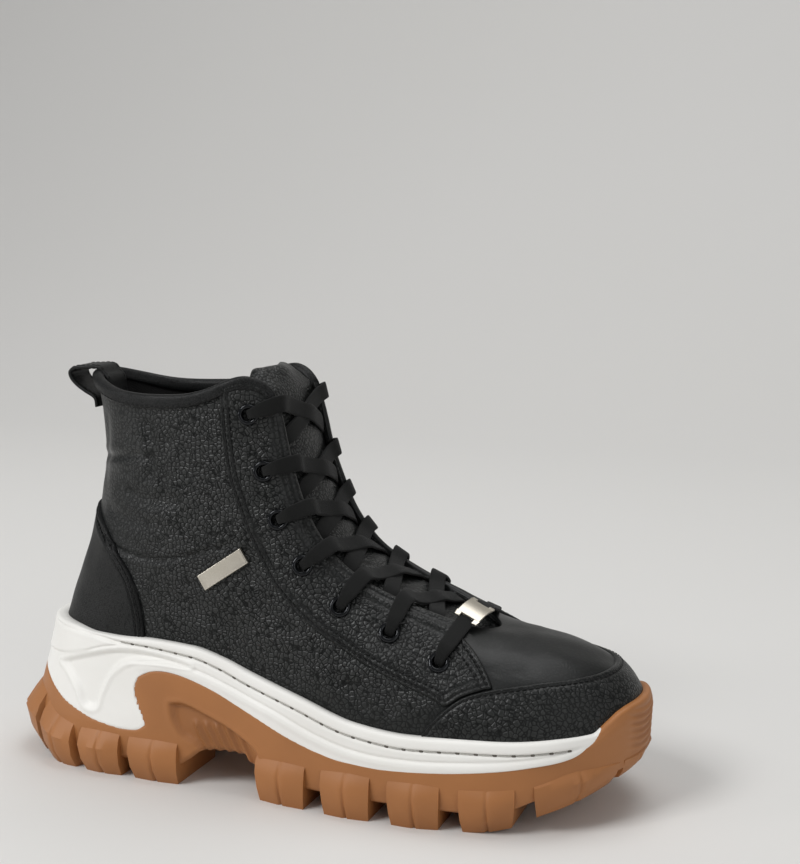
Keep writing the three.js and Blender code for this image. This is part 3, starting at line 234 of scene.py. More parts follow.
def closed_spline(values: np.ndarray, places: np.ndarray) -> np.ndarray:
    """Smooth closed cubic through evenly numbered values, with continuous second slope.

    Args:
        values: One value for each whole place of the round.
        places: Places to read, of any shape.

    Returns:
        The curve at the places, in their shape.
    """
    count = len(values)
    step = np.eye(count)
    system = 4 * step + np.roll(step, 1, 0) + np.roll(step, -1, 0)
    slopes = np.linalg.solve(system, 3 * (np.roll(values, -1) - np.roll(values, 1)))
    wrapped = np.mod(places, count)
    i = np.minimum(np.floor(wrapped).astype(int), count - 1)
    t = wrapped - i
    span = values[(i + 1) % count] - values[i]
    a, b = slopes[i], slopes[(i + 1) % count]
    return values[i] + t * (a + t * (3 * span - 2 * a - b + t * (a + b - 2 * span)))


def steady(table: list[list[float]], places: np.ndarray) -> np.ndarray:
    """Curve through rising places that never overshoots: harmonic mean of the slopes.

    Args:
        table: Rows of place and value.
        places: Places to read, of any shape; the ends are held.

    Returns:
        The values at the places.
    """
    x, y = np.asarray(table, float)[:, 0], np.asarray(table, float)[:, 1]
    steps = np.diff(y) / np.diff(x)
    product = steps[:-1] * steps[1:]
    total = np.where(np.abs(steps[:-1] + steps[1:]) < 1e-12, 1.0, steps[:-1] + steps[1:])
    middle = np.where(product <= 0, 0.0, 2 * product / total)
    slopes = np.concatenate([steps[:1], middle, steps[-1:]])
    place = np.clip(places, x[0], x[-1])
    i = np.clip(np.searchsorted(x, place, side="right") - 1, 0, len(x) - 2)
    width = x[i + 1] - x[i]
    t = (place - x[i]) / width
    span = y[i + 1] - y[i]
    a, b = slopes[i] * width, slopes[i + 1] * width
    return y[i] + t * (a + t * (3 * span - 2 * a - b + t * (a + b - 2 * span)))


def along_sole(table: list[list[float]], x: np.ndarray) -> np.ndarray:
    """Height in millimetres at a distance from the heel, from a table of shares."""
    return HEEL_RIM * steady(table, x / UPPER_LENGTH)


def ramp(value: np.ndarray, low: float, high: float) -> np.ndarray:
    """Smooth step from 0 at low to 1 at high: 3t squared less 2t cubed."""
    t = np.clip((value - low) / (high - low), 0, 1)
    return t * t * (3 - 2 * t)


def unit(vectors: np.ndarray) -> np.ndarray:
    """Vectors of length one along the last axis."""
    return vectors / np.maximum(np.linalg.norm(vectors, axis=-1, keepdims=True), 1e-12)


def mix(a: np.ndarray, b: np.ndarray, share: np.ndarray) -> np.ndarray:
    """Straight mix of two arrays."""
    return a + (b - a) * share


def bell(value: np.ndarray, width: float = 1.0) -> np.ndarray:
    """Bell curve: 1 at 0, and the exponential of minus the square of value over width."""
    return np.exp(-(value / width) ** 2)


def quarter(distance: np.ndarray, radius: float = 1.0) -> np.ndarray:
    """Quarter circle: 0 at no distance, rising to 1 at the radius and beyond."""
    return np.sqrt(1 - (1 - np.clip(distance / radius, 0, 1)) ** 2)


def run_along(path: np.ndarray) -> np.ndarray:
    """Distance of each point of a path from its start, measured along it."""
    return np.concatenate([[0], np.cumsum(np.linalg.norm(np.diff(path, axis=0), axis=1))])


def on_upper(table: list[list[float]], x: np.ndarray) -> np.ndarray:
    """Height in millimetres of an upper's seam at a distance from the heel."""
    return BOOT_HEIGHT * steady(table, x / UPPER_LENGTH)


def round_values(column: int, scale: float, inner: int | None = None) -> np.ndarray:
    """One column of the ribs for the whole round, with its sign where it lies aside."""
    outer = RIBS[:, column] * scale
    if inner is None:
        return np.concatenate([outer, outer[-2:0:-1]])
    return np.concatenate([-outer, RIBS[-2:0:-1, inner] * scale])


def top_aside() -> np.ndarray:
    """Distance of each rib's top off the centre line, outer side below zero."""
    aside = RIBS[:, 4] * COLLAR_WIDTH
    return np.concatenate([-aside, aside[-2:0:-1]])


def feather(rib: np.ndarray) -> tuple[np.ndarray, np.ndarray]:
    """Feather edge in plan and its outward direction.

    Args:
        rib: Places round the shoe.

    Returns:
        Points and unit directions, each with x and y and a height of zero.
    """
    xs, ys = round_values(0, UPPER_LENGTH), round_values(1, BALL_WIDTH, 2)
    near = 0.05

    def at(place: np.ndarray) -> np.ndarray:
        """Point of the edge at a place."""
        return np.stack([closed_spline(xs, place), closed_spline(ys, place), np.zeros_like(place)],
            -1)

    along = at(rib + near) - at(rib - near)
    return at(rib), unit(np.stack([along[..., 1], -along[..., 0], 0 * rib], -1))


def skin(rib: np.ndarray, climb: np.ndarray) -> np.ndarray:
    """Outer surface of the upper: each rib is a cubic Bezier from feather edge to top edge.

    The lower handle leans out along the feather edge's normal, the upper one along the
    line from the top point to the foot of the rib.

    Args:
        rib: Places round the shoe, 0 at the heel, 19 at the toe, 38 back at the heel.
        climb: Share of the way up the rib.

    Returns:
        Points in millimetres, before they are moved to the frame's origin.
    """
    rib, climb = np.broadcast_arrays(np.asarray(rib, float), np.asarray(climb, float))
    low, out = feather(rib)
    low[..., 2] = along_sole(CUP_FLOOR, low[..., 0])
    high = np.stack([closed_spline(round_values(3, UPPER_LENGTH), rib), closed_spline(top_aside(),
        rib), closed_spline(round_values(5, BOOT_HEIGHT), rib)], -1)
    tall = high[..., 2] - low[..., 2]
    lean = low - high
    lean[..., 2] = 0
    lean = unit(lean)
    rise, flare, drop, reach = (closed_spline(round_values(c, 1.0), rib) for c in (6, 7, 8, 9))
    first = low + out * (flare * BALL_WIDTH)[..., None]
    first[..., 2] += rise * tall
    second = high + lean * (reach * BALL_WIDTH)[..., None]
    second[..., 2] -= drop * tall
    t = climb[..., None]
    s = 1 - t
    return s**3 * low + 3 * s * s * t * first + 3 * s * t * t * second + t**3 * high


def skin_normal(rib: np.ndarray, climb: np.ndarray) -> np.ndarray:
    """Outward direction off the skin, from differences along and up."""
    rib, climb = np.broadcast_arrays(np.asarray(rib, float), np.asarray(climb, float))
    along = skin(rib + 0.2, climb) - skin(rib - 0.2, climb)
    up = skin(rib, np.minimum(climb + 0.02, 1)) - skin(rib, np.maximum(climb - 0.02, 0))
    return unit(np.cross(along, up))


def lifted(rib: np.ndarray, climb: np.ndarray, lift: np.ndarray | float) -> np.ndarray:
    """Skin moved along its normal by a lift in millimetres."""
    lift = np.broadcast_to(np.asarray(lift, float), np.broadcast(rib, climb).shape)
    return skin(rib, climb) + skin_normal(rib, climb) * lift[..., None]


def resample(line: np.ndarray, count: int, spread: np.ndarray | None = None) -> np.ndarray:
    """Evenly spaced points along a polyline, smoothed by a spline through its corners.

    Args:
        line: Corner points, one a row.
        count: How many points to return.
        spread: Shares of the length to read instead of even ones.

    Returns:
        Points one a row, in the line's own dimension.
    """
    line = np.asarray(line, float)
    place = run_along(line)
    gaps = np.linalg.norm(np.diff(line, axis=0), axis=1)
    ends = [line[0] * 2 - line[1], line[-1] * 2 - line[-2]]
    padded = np.vstack([ends[0], line, ends[1]])
    want = (np.linspace(0, 1, count) if spread is None else spread) * place[-1]
    i = np.clip(np.searchsorted(place, want, side="right") - 1, 0, len(line) - 2)
    t = ((want - place[i]) / gaps[i])[:, None]
    p0, p1, p2, p3 = (padded[i + k] for k in range(4))
    w = gaps[i][:, None]
    before = np.linalg.norm(p1 - p0, axis=1, keepdims=True)
    after = np.linalg.norm(p3 - p2, axis=1, keepdims=True)
    m1 = w * (p2 - p0) / (w + before)
    m2 = w * (p3 - p1) / (w + after)
    return (p1 * (2 * t**3 - 3 * t**2 + 1) + m1 * (t**3 - 2 * t**2 + t) + p2
        * (3 * t**2 - 2 * t**3) + m2 * (t**3 - t**2))


def distance_to(points: np.ndarray, line: np.ndarray) -> tuple[np.ndarray, np.ndarray]:
    """Distance of points from a polyline, and how far along it the nearest place is.

    Args:
        points: Side-view points, last axis of two.
        line: Corners of the polyline.

    Returns:
        Distance in the points' unit, and share of the line's length.
    """
    best = np.full(points.shape[:-1], 1e9)
    share = np.zeros(points.shape[:-1])
    start = run_along(line)
    lengths = np.linalg.norm(np.diff(line, axis=0), axis=1)
    for i, (a, b) in enumerate(zip(line[:-1], line[1:])):
        step = b - a
        t = np.clip(((points - a) @ step) / max(step @ step, 1e-12), 0, 1)
        gap = np.linalg.norm(points - a - t[..., None] * step, axis=-1)
        nearer = gap < best
        best = np.where(nearer, gap, best)
        share = np.where(nearer, (start[i] + t * lengths[i]) / start[-1], share)
    return best, share


def inside(points: np.ndarray, ring: np.ndarray) -> np.ndarray:
    """Whether side-view points lie in a closed outline, by counting crossed edges."""
    x, z = points[..., 0], points[..., 1]
    crossed = np.zeros(x.shape, bool)
    for (ax, az), (bx, bz) in zip(ring, np.roll(ring, -1, 0)):
        flat = 1e-12 if bz == az else 0.0
        crossed ^= ((az > z) != (bz > z)) & (x < (bx - ax) * (z - az) / (bz - az + flat) + ax)
    return crossed


def depth_in(points: np.ndarray, ring: np.ndarray) -> np.ndarray:
    """Distance into a closed outline, below zero outside it."""
    away, _ = distance_to(points, np.vstack([ring, ring[:1]]))
    return np.where(inside(points, ring), away, -away)


def in_sole(table: list[list[float]]) -> np.ndarray:
    """Side-view table of the sole in millimetres."""
    return np.asarray(table, float)[:, :2] * [UPPER_LENGTH, HEEL_RIM]


def in_upper(table: list[list[float]]) -> np.ndarray:
    """Side-view table of the upper in millimetres."""
    return np.asarray(table, float)[:, :2] * [UPPER_LENGTH, BOOT_HEIGHT]


class Side(Enum):
    """The two sides of the shoe."""

    OUTER = -1
    INNER = 1

    def rib(self, rib: np.ndarray | float) -> np.ndarray | float:
        """The rib on this side that answers to one of the outer side."""
        return rib if self is Side.OUTER else ROUND - rib


def on_skin(side_view: np.ndarray, side: Side = Side.OUTER) -> np.ndarray:
    """Rib and climb, counted as on the outer side, of points given in side view.

    The nearest spot of a dense grid is found first, then moved by Newton steps on x and z.

    Args:
        side_view: Points with x and z, one a row.
        side: Side of the shoe that they lie on.

    Returns:
        Rib and climb, one a row.
    """
    ribs, climbs = np.meshgrid(np.linspace(0, LAST_RIB, 300), np.linspace(0, 1, 120),
        indexing="ij")
    seen = skin(side.rib(ribs), climbs)[..., [0, 2]].reshape(-1, 2)
    gap = ((side_view[:, None, :] - seen[None]) ** 2).sum(-1).argmin(1)
    rib, climb = ribs.reshape(-1)[gap], climbs.reshape(-1)[gap]
    for _ in range(6):
        here = skin(side.rib(rib), climb)[:, [0, 2]]
        by_rib = (skin(side.rib(rib + 0.05), climb)[:, [0, 2]] - here) / 0.05
        by_climb = (skin(side.rib(rib), climb + 0.01)[:, [0, 2]] - here) / 0.01
        off = side_view - here
        det = by_rib[:, 0] * by_climb[:, 1] - by_rib[:, 1] * by_climb[:, 0]
        det = np.where(np.abs(det) < 2.0, 1e9, det)
        rib = rib + np.clip((off[:, 0] * by_climb[:, 1] - off[:, 1] * by_climb[:, 0]) / det, -0.3,
            0.3)
        climb = climb + np.clip((by_rib[:, 0] * off[:, 1] - by_rib[:, 1] * off[:, 0]) / det, -0.05,
            0.05)
        rib, climb = np.clip(rib, 0, LAST_RIB), np.clip(climb, 0, 1)
    return np.stack([rib, climb], -1)


def linear(colour: str) -> tuple[float, float, float, float]:
    """Linear colour of an sRGB hex value."""
    parts = [int(colour[i:i + 2], 16) / 255 for i in (1, 3, 5)]
    turned = [p / 12.92 if p <= 0.04045 else ((p + 0.055) / 1.055) ** 2.4 for p in parts]
    return (*turned, 1.0)


def grid_faces(rows: int, across: int, looped: bool = False, start: int = 0) -> np.ndarray:
    """Quads of a grid, with corner numbers counted row by row.

    Args:
        rows: Rows of the grid.
        across: Points in a row.
        looped: Whether the last row joins the first.
        start: Number of the grid's first point.

    Returns:
        Four corner numbers a face.
    """
    i, k = np.meshgrid(np.arange(rows if looped else rows - 1), np.arange(across - 1),
        indexing="ij")
    j = (i + 1) % rows
    quads = [i * across + k, j * across + k, j * across + k + 1, i * across + k + 1]
    return np.stack([q.reshape(-1) for q in quads], -1) + start


def ring_faces(rows: int, around: int) -> np.ndarray:
    """Quads between rings of points, with corner numbers counted ring by ring."""
    i, k = np.arange(rows - 1)[:, None], np.arange(around)
    n = (k + 1) % around
    quads = [i * around + k, i * around + n, (i + 1) * around + n, (i + 1) * around + k]
    return np.stack(quads, -1).reshape(-1, 4)


def outward(points: np.ndarray, faces: np.ndarray) -> np.ndarray:
    """Quads turned to face outwards by the sign of the volume that they enclose."""
    p = points[faces]
    volume = (np.cross(p[:, 0], p[:, 1]) * p[:, 2]).sum() + (np.cross(p[:, 0], p[:, 2])
        * p[:, 3]).sum()
    return faces[:, ::-1] if volume < 0 else faces


def tube(rings: np.ndarray) -> tuple[np.ndarray, list]:
    """Tube through rings of points, capped at both ends and turned to face outwards.

    Args:
        rings: Rings by points by three.

    Returns:
        Points and faces.
    """
    rows, around = rings.shape[:2]
    points, quads, k = rings.reshape(-1, 3), ring_faces(rows, around), np.arange(around)
    p = points[quads[:, :3]]
    away = p[:, 0] - np.repeat(rings.mean(1)[:-1], around, 0)
    faces = quads.tolist() + [k[::-1].tolist(), ((rows - 1) * around + k).tolist()]
    if (np.cross(p[:, 1] - p[:, 0], p[:, 2] - p[:, 0]) * away).sum() < 0:
        faces = [face[::-1] for face in faces]
    return points, faces


def closed_slab(over: np.ndarray, under: np.ndarray, looped: bool = False) -> tuple[np.ndarray,
        np.ndarray]:
    """Closed shell between two equal grids, with a wall of quads round their borders.

    Args:
        over: Grid of the outer face, rows by columns by three.
        under: Grid of the inner face, of the same shape.
        looped: Whether the rows close on themselves.

    Returns:
        Points and quads, turned to face outwards by the sign of the enclosed volume.
    """
    rows, across = over.shape[:2]
    points = np.concatenate([over.reshape(-1, 3), under.reshape(-1, 3)])
    count = rows * across
    number = np.arange(count).reshape(rows, across)
    faces = [grid_faces(rows, across, looped), grid_faces(rows, across, looped, count)[:, ::-1]]
    edges = [(number[:, 0], False), (number[:, -1], True)]
    if not looped:
        edges += [(number[0], True), (number[-1], False)]
    for line, turned in edges:
        a = line if looped else line[:-1]
        b = np.roll(line, -1) if looped else line[1:]
        wall = np.stack([a, a + count, b + count, b], -1)
        faces.append(wall[:, ::-1] if turned else wall)
    return points, outward(points, np.concatenate(faces))


def as_rows(faces: np.ndarray | list) -> list:
    """Faces as plain lists of corner numbers."""
    return faces.tolist() if isinstance(faces, np.ndarray) else faces


def add_piece(name: str, points: np.ndarray, faces: np.ndarray | list, finish: Finish,
        values: dict[str, np.ndarray] | None = None, uv: np.ndarray | None = None,
        sharp: float | None = None) -> bpy.types.Object:
    """Mesh object from points in millimetres, which rides on the boot and wears a finish.

    Args:
        name: Name of the piece.
        points: Points before the move to the frame's origin.
        faces: Corner numbers of each face.
        finish: The finish it wears.
        values: Point attributes for the finish.
        uv: Pattern place of each point, if the finish follows the surface.
        sharp: Angle in degrees past which edges stay sharp, or None for all smooth.

    Returns:
        The object, at the origin, with its place in its mesh.
    """
    mesh = bpy.data.meshes.new(name)
    placed = (np.asarray(points, float) + ORIGIN) * MM
    mesh.from_pydata(placed.tolist(), [], as_rows(faces))
    mesh.validate()
    for key, value in (values or {}).items():
        layer = mesh.attributes.new(key, "FLOAT", "POINT")
        layer.data.foreach_set("value", np.asarray(value, np.float32).reshape(-1))
    if uv is not None:
        corners = np.zeros(len(mesh.loops), np.int32)
        mesh.loops.foreach_get("vertex_index", corners)
        layer = mesh.uv_layers.new(name="pattern")
        layer.data.foreach_set("uv", uv.reshape(-1, 2)[corners].astype(np.float32).reshape(-1))
    mesh.polygons.foreach_set("use_smooth", np.ones(len(mesh.polygons), bool))
    if sharp is not None:
        mesh.set_sharp_from_angle(angle=math.radians(sharp))
    mesh.materials.append(finish.dress())
    piece = bpy.data.objects.new(name, mesh)
    bpy.context.scene.collection.objects.link(piece)
    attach(piece, "root")
    log.info("%s: %d faces", name, len(mesh.polygons))
    return piece


def finish_edges(piece: bpy.types.Object, width: float, segments: int = 2,
        angle: float = 35.0) -> None:
    """Rounds a piece's hard edges.

    Args:
        piece: The piece.
        width: Width of the rounding in millimetres.
        segments: Facets across it.
        angle: Least turn of an edge that is rounded, in degrees.
    """
    bevel = piece.modifiers.new("rounded_edges", "BEVEL")
    bevel.width = width * MM
    bevel.segments = segments
    bevel.limit_method = "ANGLE"
    bevel.angle_limit = math.radians(angle)
    bevel.harden_normals = False


def beads(centres: np.ndarray, along: np.ndarray, off: np.ndarray, length: float, width: float,
        height: float) -> tuple[np.ndarray, list]:
    """Many short rounded stitches: six-sided beads whose radius falls to nothing at the ends.

    Args:
        centres: Middle of each stitch.
        along: Unit direction of each stitch.
        off: Unit direction off the surface.
        length: Length of a stitch in millimetres.
        width: Width of the thread.
        height: Height of the thread.

    Returns:
        Points and faces of them all.
    """
    around = 6
    places = np.array([-0.42, -0.2, 0.2, 0.42])
    radii = np.array([0.72, 1.0, 1.0, 0.72])
    turn = np.arange(around) * 2 * np.pi / around
    aside = unit(np.cross(off, along))
    ring = (aside[:, None, None] * (np.cos(turn) * width / 2)[None, None, :, None] + off[:, None,
        None] * (np.sin(turn) * height / 2)[None, None, :, None])
    ring = ring * radii[None, :, None, None]
    middles = centres[:, None] + along[:, None] * (places * length)[None, :, None]
    ring = ring + middles[:, :, None]
    ends = centres[:, None] + along[:, None] * np.array([-0.5, 0.5])[None, :, None] * length
    points = np.concatenate([ring.reshape(len(centres), -1, 3), ends], 1)
    each = points.shape[1]
    quads = ring_faces(len(places), around)
    k = np.arange(around)
    n = (k + 1) % around
    first, last = 4 * around, 4 * around + 1
    caps = np.concatenate([np.stack([n, k, 0 * k + first], -1),
        np.stack([3 * around + k, 3 * around + n, 0 * k + last], -1)])
    shift = np.arange(len(centres))[:, None, None] * each
    faces = (quads[None] + shift).reshape(-1, 4).tolist()
    faces += (caps[None] + shift).reshape(-1, 3).tolist()
    return points.reshape(-1, 3), faces


def merge(parts: list[tuple[np.ndarray, list | np.ndarray]]) -> tuple[np.ndarray, list]:
    """Several sets of points and faces as one."""
    points, faces, start = [], [], 0
    for some, theirs in parts:
        points.append(some)
        faces += [[corner + start for corner in row] for row in as_rows(theirs)]
        start += len(some)
    return np.concatenate(points), faces


def read_at(want: np.ndarray, place: np.ndarray, values: np.ndarray) -> np.ndarray:
    """Rows of values read at the wanted places, straight between the given ones."""
    return np.stack([np.interp(want, place, column) for column in values.T], -1)


def stitch_places(path: np.ndarray, pitch: float) -> tuple[np.ndarray, np.ndarray, np.ndarray]:
    """Evenly pitched places along a dense path.

    Args:
        path: Points of the path, close together.
        pitch: Distance from one stitch to the next in millimetres.

    Returns:
        Middles, unit directions and shares of the path's length.
    """
    place = run_along(path)
    count = max(int(place[-1] / pitch), 1)
    want = (np.arange(count) + 0.5) * place[-1] / count
    along = unit(read_at(want + 0.4, place, path) - read_at(want - 0.4, place, path))
    return read_at(want, place, path), along, want / place[-1]


class Shader:
    """A material's node tree, with one way to add a node."""

    def __init__(self, name: str) -> None:
        """Starts an empty material of that name."""
        self.material = bpy.data.materials.new(name)
        self.material.use_nodes = True
        self.tree = self.material.node_tree
        self.tree.nodes.clear()

    def add(self, kind: str, inputs: dict | None = None, **settings: object) -> bpy.types.Node:
        """Adds a node.

        Args:
            kind: Blender's name for the node, without its ShaderNode.
            inputs: Values, sockets, or nodes read at their first output, for its inputs.
            settings: Its own properties.

        Returns:
            The node.
        """
        node = self.tree.nodes.new("ShaderNode" + kind)
        for key, value in settings.items():
            setattr(node, key, value)
        for key, value in (inputs or {}).items():
            value = value.outputs[0] if isinstance(value, bpy.types.Node) else value
            if isinstance(value, bpy.types.NodeSocket):
                self.tree.links.new(value, node.inputs[key])
            else:
                node.inputs[key].default_value = value
        return node

    def close(self, inputs: dict) -> bpy.types.Material:
        """Ends the tree in a principled surface with those inputs."""
        self.add("OutputMaterial", {"Surface": self.add("BsdfPrincipled", inputs)})
        return self.material


# Values that a noise seldom leaves
MIDDLE = {"From Min": 0.3, "From Max": 0.7}


@dataclass(frozen=True)
class Finish:
    """What every finish has: a name, a slot, colours and roughness."""

    name: str
    slot: str
    colour: str
    deep: str
    roughness: float

    def dress(self) -> bpy.types.Material:
        """The finish's material, made once and shared."""
        return bpy.data.materials.get(self.name) or self.make()

    def tones(self) -> dict:
        """Main and deep colour as a mix's two inputs."""
        return {"Color1": linear(self.colour), "Color2": linear(self.deep)}

    def make(self) -> bpy.types.Material:
        """Builds the material's nodes."""
        raise NotImplementedError


@dataclass(frozen=True)
class Leather(Finish):
    """Cowhide, drum-dyed black. Tumbling shrinks it into pebbles with smooth crowns, which
    glint one by one; where it is lasted tight the grain is pulled nearly flat."""

    cell: float = 2.0
    relief: float = 0.32
    tight: float = 0.08
    gloss: float = 0.3
    flat_tone: float = 0.5

    def make(self) -> bpy.types.Material:
        """Pebbles are rounded Voronoi cells, two sizes of them, weighted by point 'grain'."""
        s = Shader(self.name)
        place = s.add("TexCoord").outputs["Object"]
        drift = s.add("TexNoise", {"Vector": place, "Scale": 210.0, "Detail": 2.0})
        bent = s.add("MixRGB", {"Fac": 0.0016, "Color1": place, "Color2": drift.outputs["Color"]},
            blend_type="ADD")
        cells = s.add("TexVoronoi", {"Vector": bent, "Scale": 1000 / self.cell,
            "Randomness": 0.85}, feature="DISTANCE_TO_EDGE")
        crown = s.add("MapRange", {"Value": cells, "From Max": 0.36},
            interpolation_type="SMOOTHSTEP")
        small = s.add("TexVoronoi", {"Vector": bent, "Scale": 1000 / (self.cell * 0.45)},
            feature="DISTANCE_TO_EDGE")
        pores = s.add("MapRange", {"Value": small, "From Max": 0.25, "To Max": 0.1},
            interpolation_type="SMOOTHSTEP")
        wide = s.add("TexNoise", {"Vector": place, "Scale": 38.0, "Detail": 3.0})
        both = s.add("Math", {0: crown, 1: pores}, operation="ADD")
        grain = s.add("Attribute", attribute_name="grain")
        amount = s.add("MapRange", {"Value": grain.outputs["Fac"], "To Min": self.tight,
            "To Max": 1.0})
        uneven = s.add("MapRange", {"Value": wide, **MIDDLE, "To Min": 0.55, "To Max": 1.0})
        force = s.add("Math", {0: amount, 1: uneven}, operation="MULTIPLY")
        height = s.add("Math", {0: both, 1: force}, operation="MULTIPLY")
        bump = s.add("Bump", {"Strength": 1.0, "Distance": self.relief * MM, "Height": height})
        # Gaps between pebbles take the deep colour: partly the leather's own darker valleys,
        # partly painted shade.
        gap = s.add("MapRange", {"Value": both, "From Min": 0.0, "From Max": 0.4, "To Min": 1.0,
            "To Max": 0.0})
        flat = s.add("MapRange", {"Value": grain.outputs["Fac"], "To Min": self.flat_tone,
            "To Max": 0.0})
        dark = s.add("Math", {0: gap, 1: amount, 2: flat}, operation="MULTIPLY_ADD",
            use_clamp=True)
        colour = s.add("MixRGB", {"Fac": dark, **self.tones()})
        shine = s.add("MapRange", {"Value": wide, **MIDDLE, "To Min": self.roughness - 0.06,
            "To Max": self.roughness + 0.08})
        glint = s.add("MapRange", {"Value": dark, "To Min": self.gloss, "To Max": 0.12})
        return s.close({"Base Color": colour, "Roughness": shine, "Normal": bump,
            "Specular IOR Level": glint})


@dataclass(frozen=True)
class Moulded(Finish):
    """Rubber or foam moulded in steel: an even, faintly mottled colour, and a spark-eroded
    mould skin that leaves a fine matt tooth."""

    tooth: float = 0.35
    relief: float = 0.02

    def make(self) -> bpy.types.Material:
        """Mottling is slow noise; the tooth is fine noise as bump; 'shade' darkens creases."""
        s = Shader(self.name)
        place = s.add("TexCoord").outputs["Object"]
        slow = s.add("TexNoise", {"Vector": place, "Scale": 26.0, "Detail": 4.0})
        fine = s.add("TexNoise", {"Vector": place, "Scale": 1000 / self.tooth, "Detail": 2.0})
        shade = s.add("Attribute", attribute_name="shade")
        part = s.add("MapRange", {"Value": slow, "From Min": 0.35, "From Max": 0.65,
            "To Max": 0.35})
        dark = s.add("Math", {0: part, 1: shade.outputs["Fac"]}, operation="ADD", use_clamp=True)
        colour = s.add("MixRGB", {"Fac": dark, **self.tones()})
        shine = s.add("MapRange", {"Value": slow, "To Min": self.roughness - 0.08,
            "To Max": self.roughness + 0.08})
        bump = s.add("Bump", {"Strength": 0.5, "Distance": self.relief * MM, "Height": fine})
        return s.close({"Base Color": colour, "Roughness": shine, "Normal": bump})


@dataclass(frozen=True)
class Woven(Finish):
    """Polyester yarn in plain weave, dull from its many filaments, with a soft bloom of
    loose fibre at a low angle."""

    yarn: float = 0.7
    relief: float = 0.12
    follows: bool = True

    def make(self) -> bpy.types.Material:
        """Warp and weft are two crossed sine waves on the piece's own map, or on its place."""
        s = Shader(self.name)
        place = s.add("TexCoord").outputs["UV" if self.follows else "Object"]
        scale = 1.0 if self.follows else 1000.0
        split = s.add("SeparateXYZ", {"Vector": place})
        waves = []
        for axis, pitch in (("X", self.yarn), ("Y" if self.follows else "Z", self.yarn * 0.8)):
            turned = s.add("Math", {0: split.outputs[axis], 1: 2 * math.pi * scale / pitch},
                operation="MULTIPLY")
            waves.append(s.add("Math", {0: turned}, operation="SINE"))
        weave = s.add("Math", {0: waves[0], 1: waves[1]}, operation="MULTIPLY")
        fluff = s.add("TexNoise", {"Vector": s.add("TexCoord").outputs["Object"], "Scale": 900.0,
            "Detail": 3.0})
        tall = s.add("Math", {0: weave, 1: fluff}, operation="ADD")
        # Colour follows the weave's height: its low places are painted darker, as shade.
        tone = s.add("MapRange", {"Value": tall, "From Min": -0.6, "From Max": 1.5})
        colour = s.add("MixRGB", {"Fac": tone, "Color1": linear(self.deep),
            "Color2": linear(self.colour)})
        bump = s.add("Bump", {"Strength": 0.6, "Distance": self.relief * MM, "Height": tall})
        return s.close({"Base Color": colour, "Roughness": self.roughness, "Normal": bump,
            "Sheen Weight": 0.06, "Sheen Roughness": 0.5, "Specular IOR Level": 0.2})


@dataclass(frozen=True)
class Metal(Finish):
    """Stamped metal, plated and tumbled or enamelled: bright, with hair-fine rubbing marks
    that soften its reflections unevenly."""

    metallic: float = 1.0
    marks: float = 0.6

    def make(self) -> bpy.types.Material:
        """Rubbing marks are stretched noise that changes roughness and a trace of bump."""
        s = Shader(self.name)
        place = s.add("TexCoord").outputs["Object"]
        drawn = s.add("Mapping", {"Vector": place, "Rotation": (0.0, -0.35, 0.0),
            "Scale": (1.0, 1.0, 7.0)})
        marks = s.add("TexNoise", {"Vector": drawn, "Scale": 1000 / self.marks, "Detail": 3.0})
        slow = s.add("TexNoise", {"Vector": place, "Scale": 90.0})
        shine = s.add("MapRange", {"Value": marks, **MIDDLE, "To Min": self.roughness * 0.8,
            "To Max": self.roughness * 1.3})
        colour = s.add("MixRGB", {"Fac": slow, **self.tones()})
        bump = s.add("Bump", {"Strength": 0.2, "Distance": 0.01 * MM, "Height": marks})
        return s.close({"Base Color": colour, "Roughness": shine, "Metallic": self.metallic,
            "Normal": bump})


# A leather's deep colour fills its pebble gaps: partly its own darker valleys, partly painted
# shade.
PEBBLED = Leather("tumbled_pebble_leather", "leather_grained", "#1c1e1d", "#060707", 0.38,
    gloss=0.44)
SMOOTH = Leather("lasted_smooth_leather", "leather_smooth", "#141515", "#0c0d0d", 0.45, cell=0.8,
    relief=0.05, tight=1.0, gloss=0.3)
# The woven finishes' deep colours are painted shade in the low places of their weave.
LINING = Woven("knitted_polyester_lining", "lining", "#191919", "#0c0c0c", 0.92, yarn=1.3,
    follows=False)
FOAM = Moulded("moulded_white_eva", "midsole", "#edece8", "#dcdad4", 0.5)
GUM = Moulded("moulded_gum_rubber", "gum_rubber", "#a56c3b", "#85542a", 0.52, relief=0.03)
RING = Metal("enamelled_brass_eyelet", "eyelet", "#131416", "#1b1d20", 0.13, metallic=0.6)
PLATED = Metal("nickel_plated_zinc", "metal", "#cdc8be", "#b9b2a4", 0.33)
LACE = Woven("woven_polyester_lace", "lace", "#171817", "#070707", 0.85)
THREAD = Woven("bonded_nylon_thread", "lace", "#161717", "#0a0a0a", 0.6, yarn=0.5, follows=False)
PALE_THREAD = Woven("bonded_pale_thread", "midsole", "#d9d7d1", "#8d8a84", 0.7, yarn=0.5,
    follows=False)
# Needle holes are painted: darker beads that stand in for the shade inside them.
HOLE = Woven("shadowed_needle_hole", "lining", "#77726b", "#4a453f", 0.9, yarn=0.5, follows=False)


def folds(points: np.ndarray) -> np.ndarray:
    """Depth of the creases at points of the skin: a bell across each line, easing at its ends.

    Args:
        points: Skin points in millimetres.

    Returns:
        Lift in millimetres, below zero in a crease.
    """
    seen = points[..., [0, 2]]
    lift = np.zeros(seen.shape[:-1])
    for line, depth, width in CREASES:
        away, share = distance_to(seen, resample(in_upper(line), 14))
        ends = ramp(share, 0, 0.12) * ramp(1 - share, 0, 0.12)
        lift -= 1.7 * depth * ends * bell(away, width)
        lift += 0.4 * depth * ends * bell(away - 2.2 * width, width)
    return lift


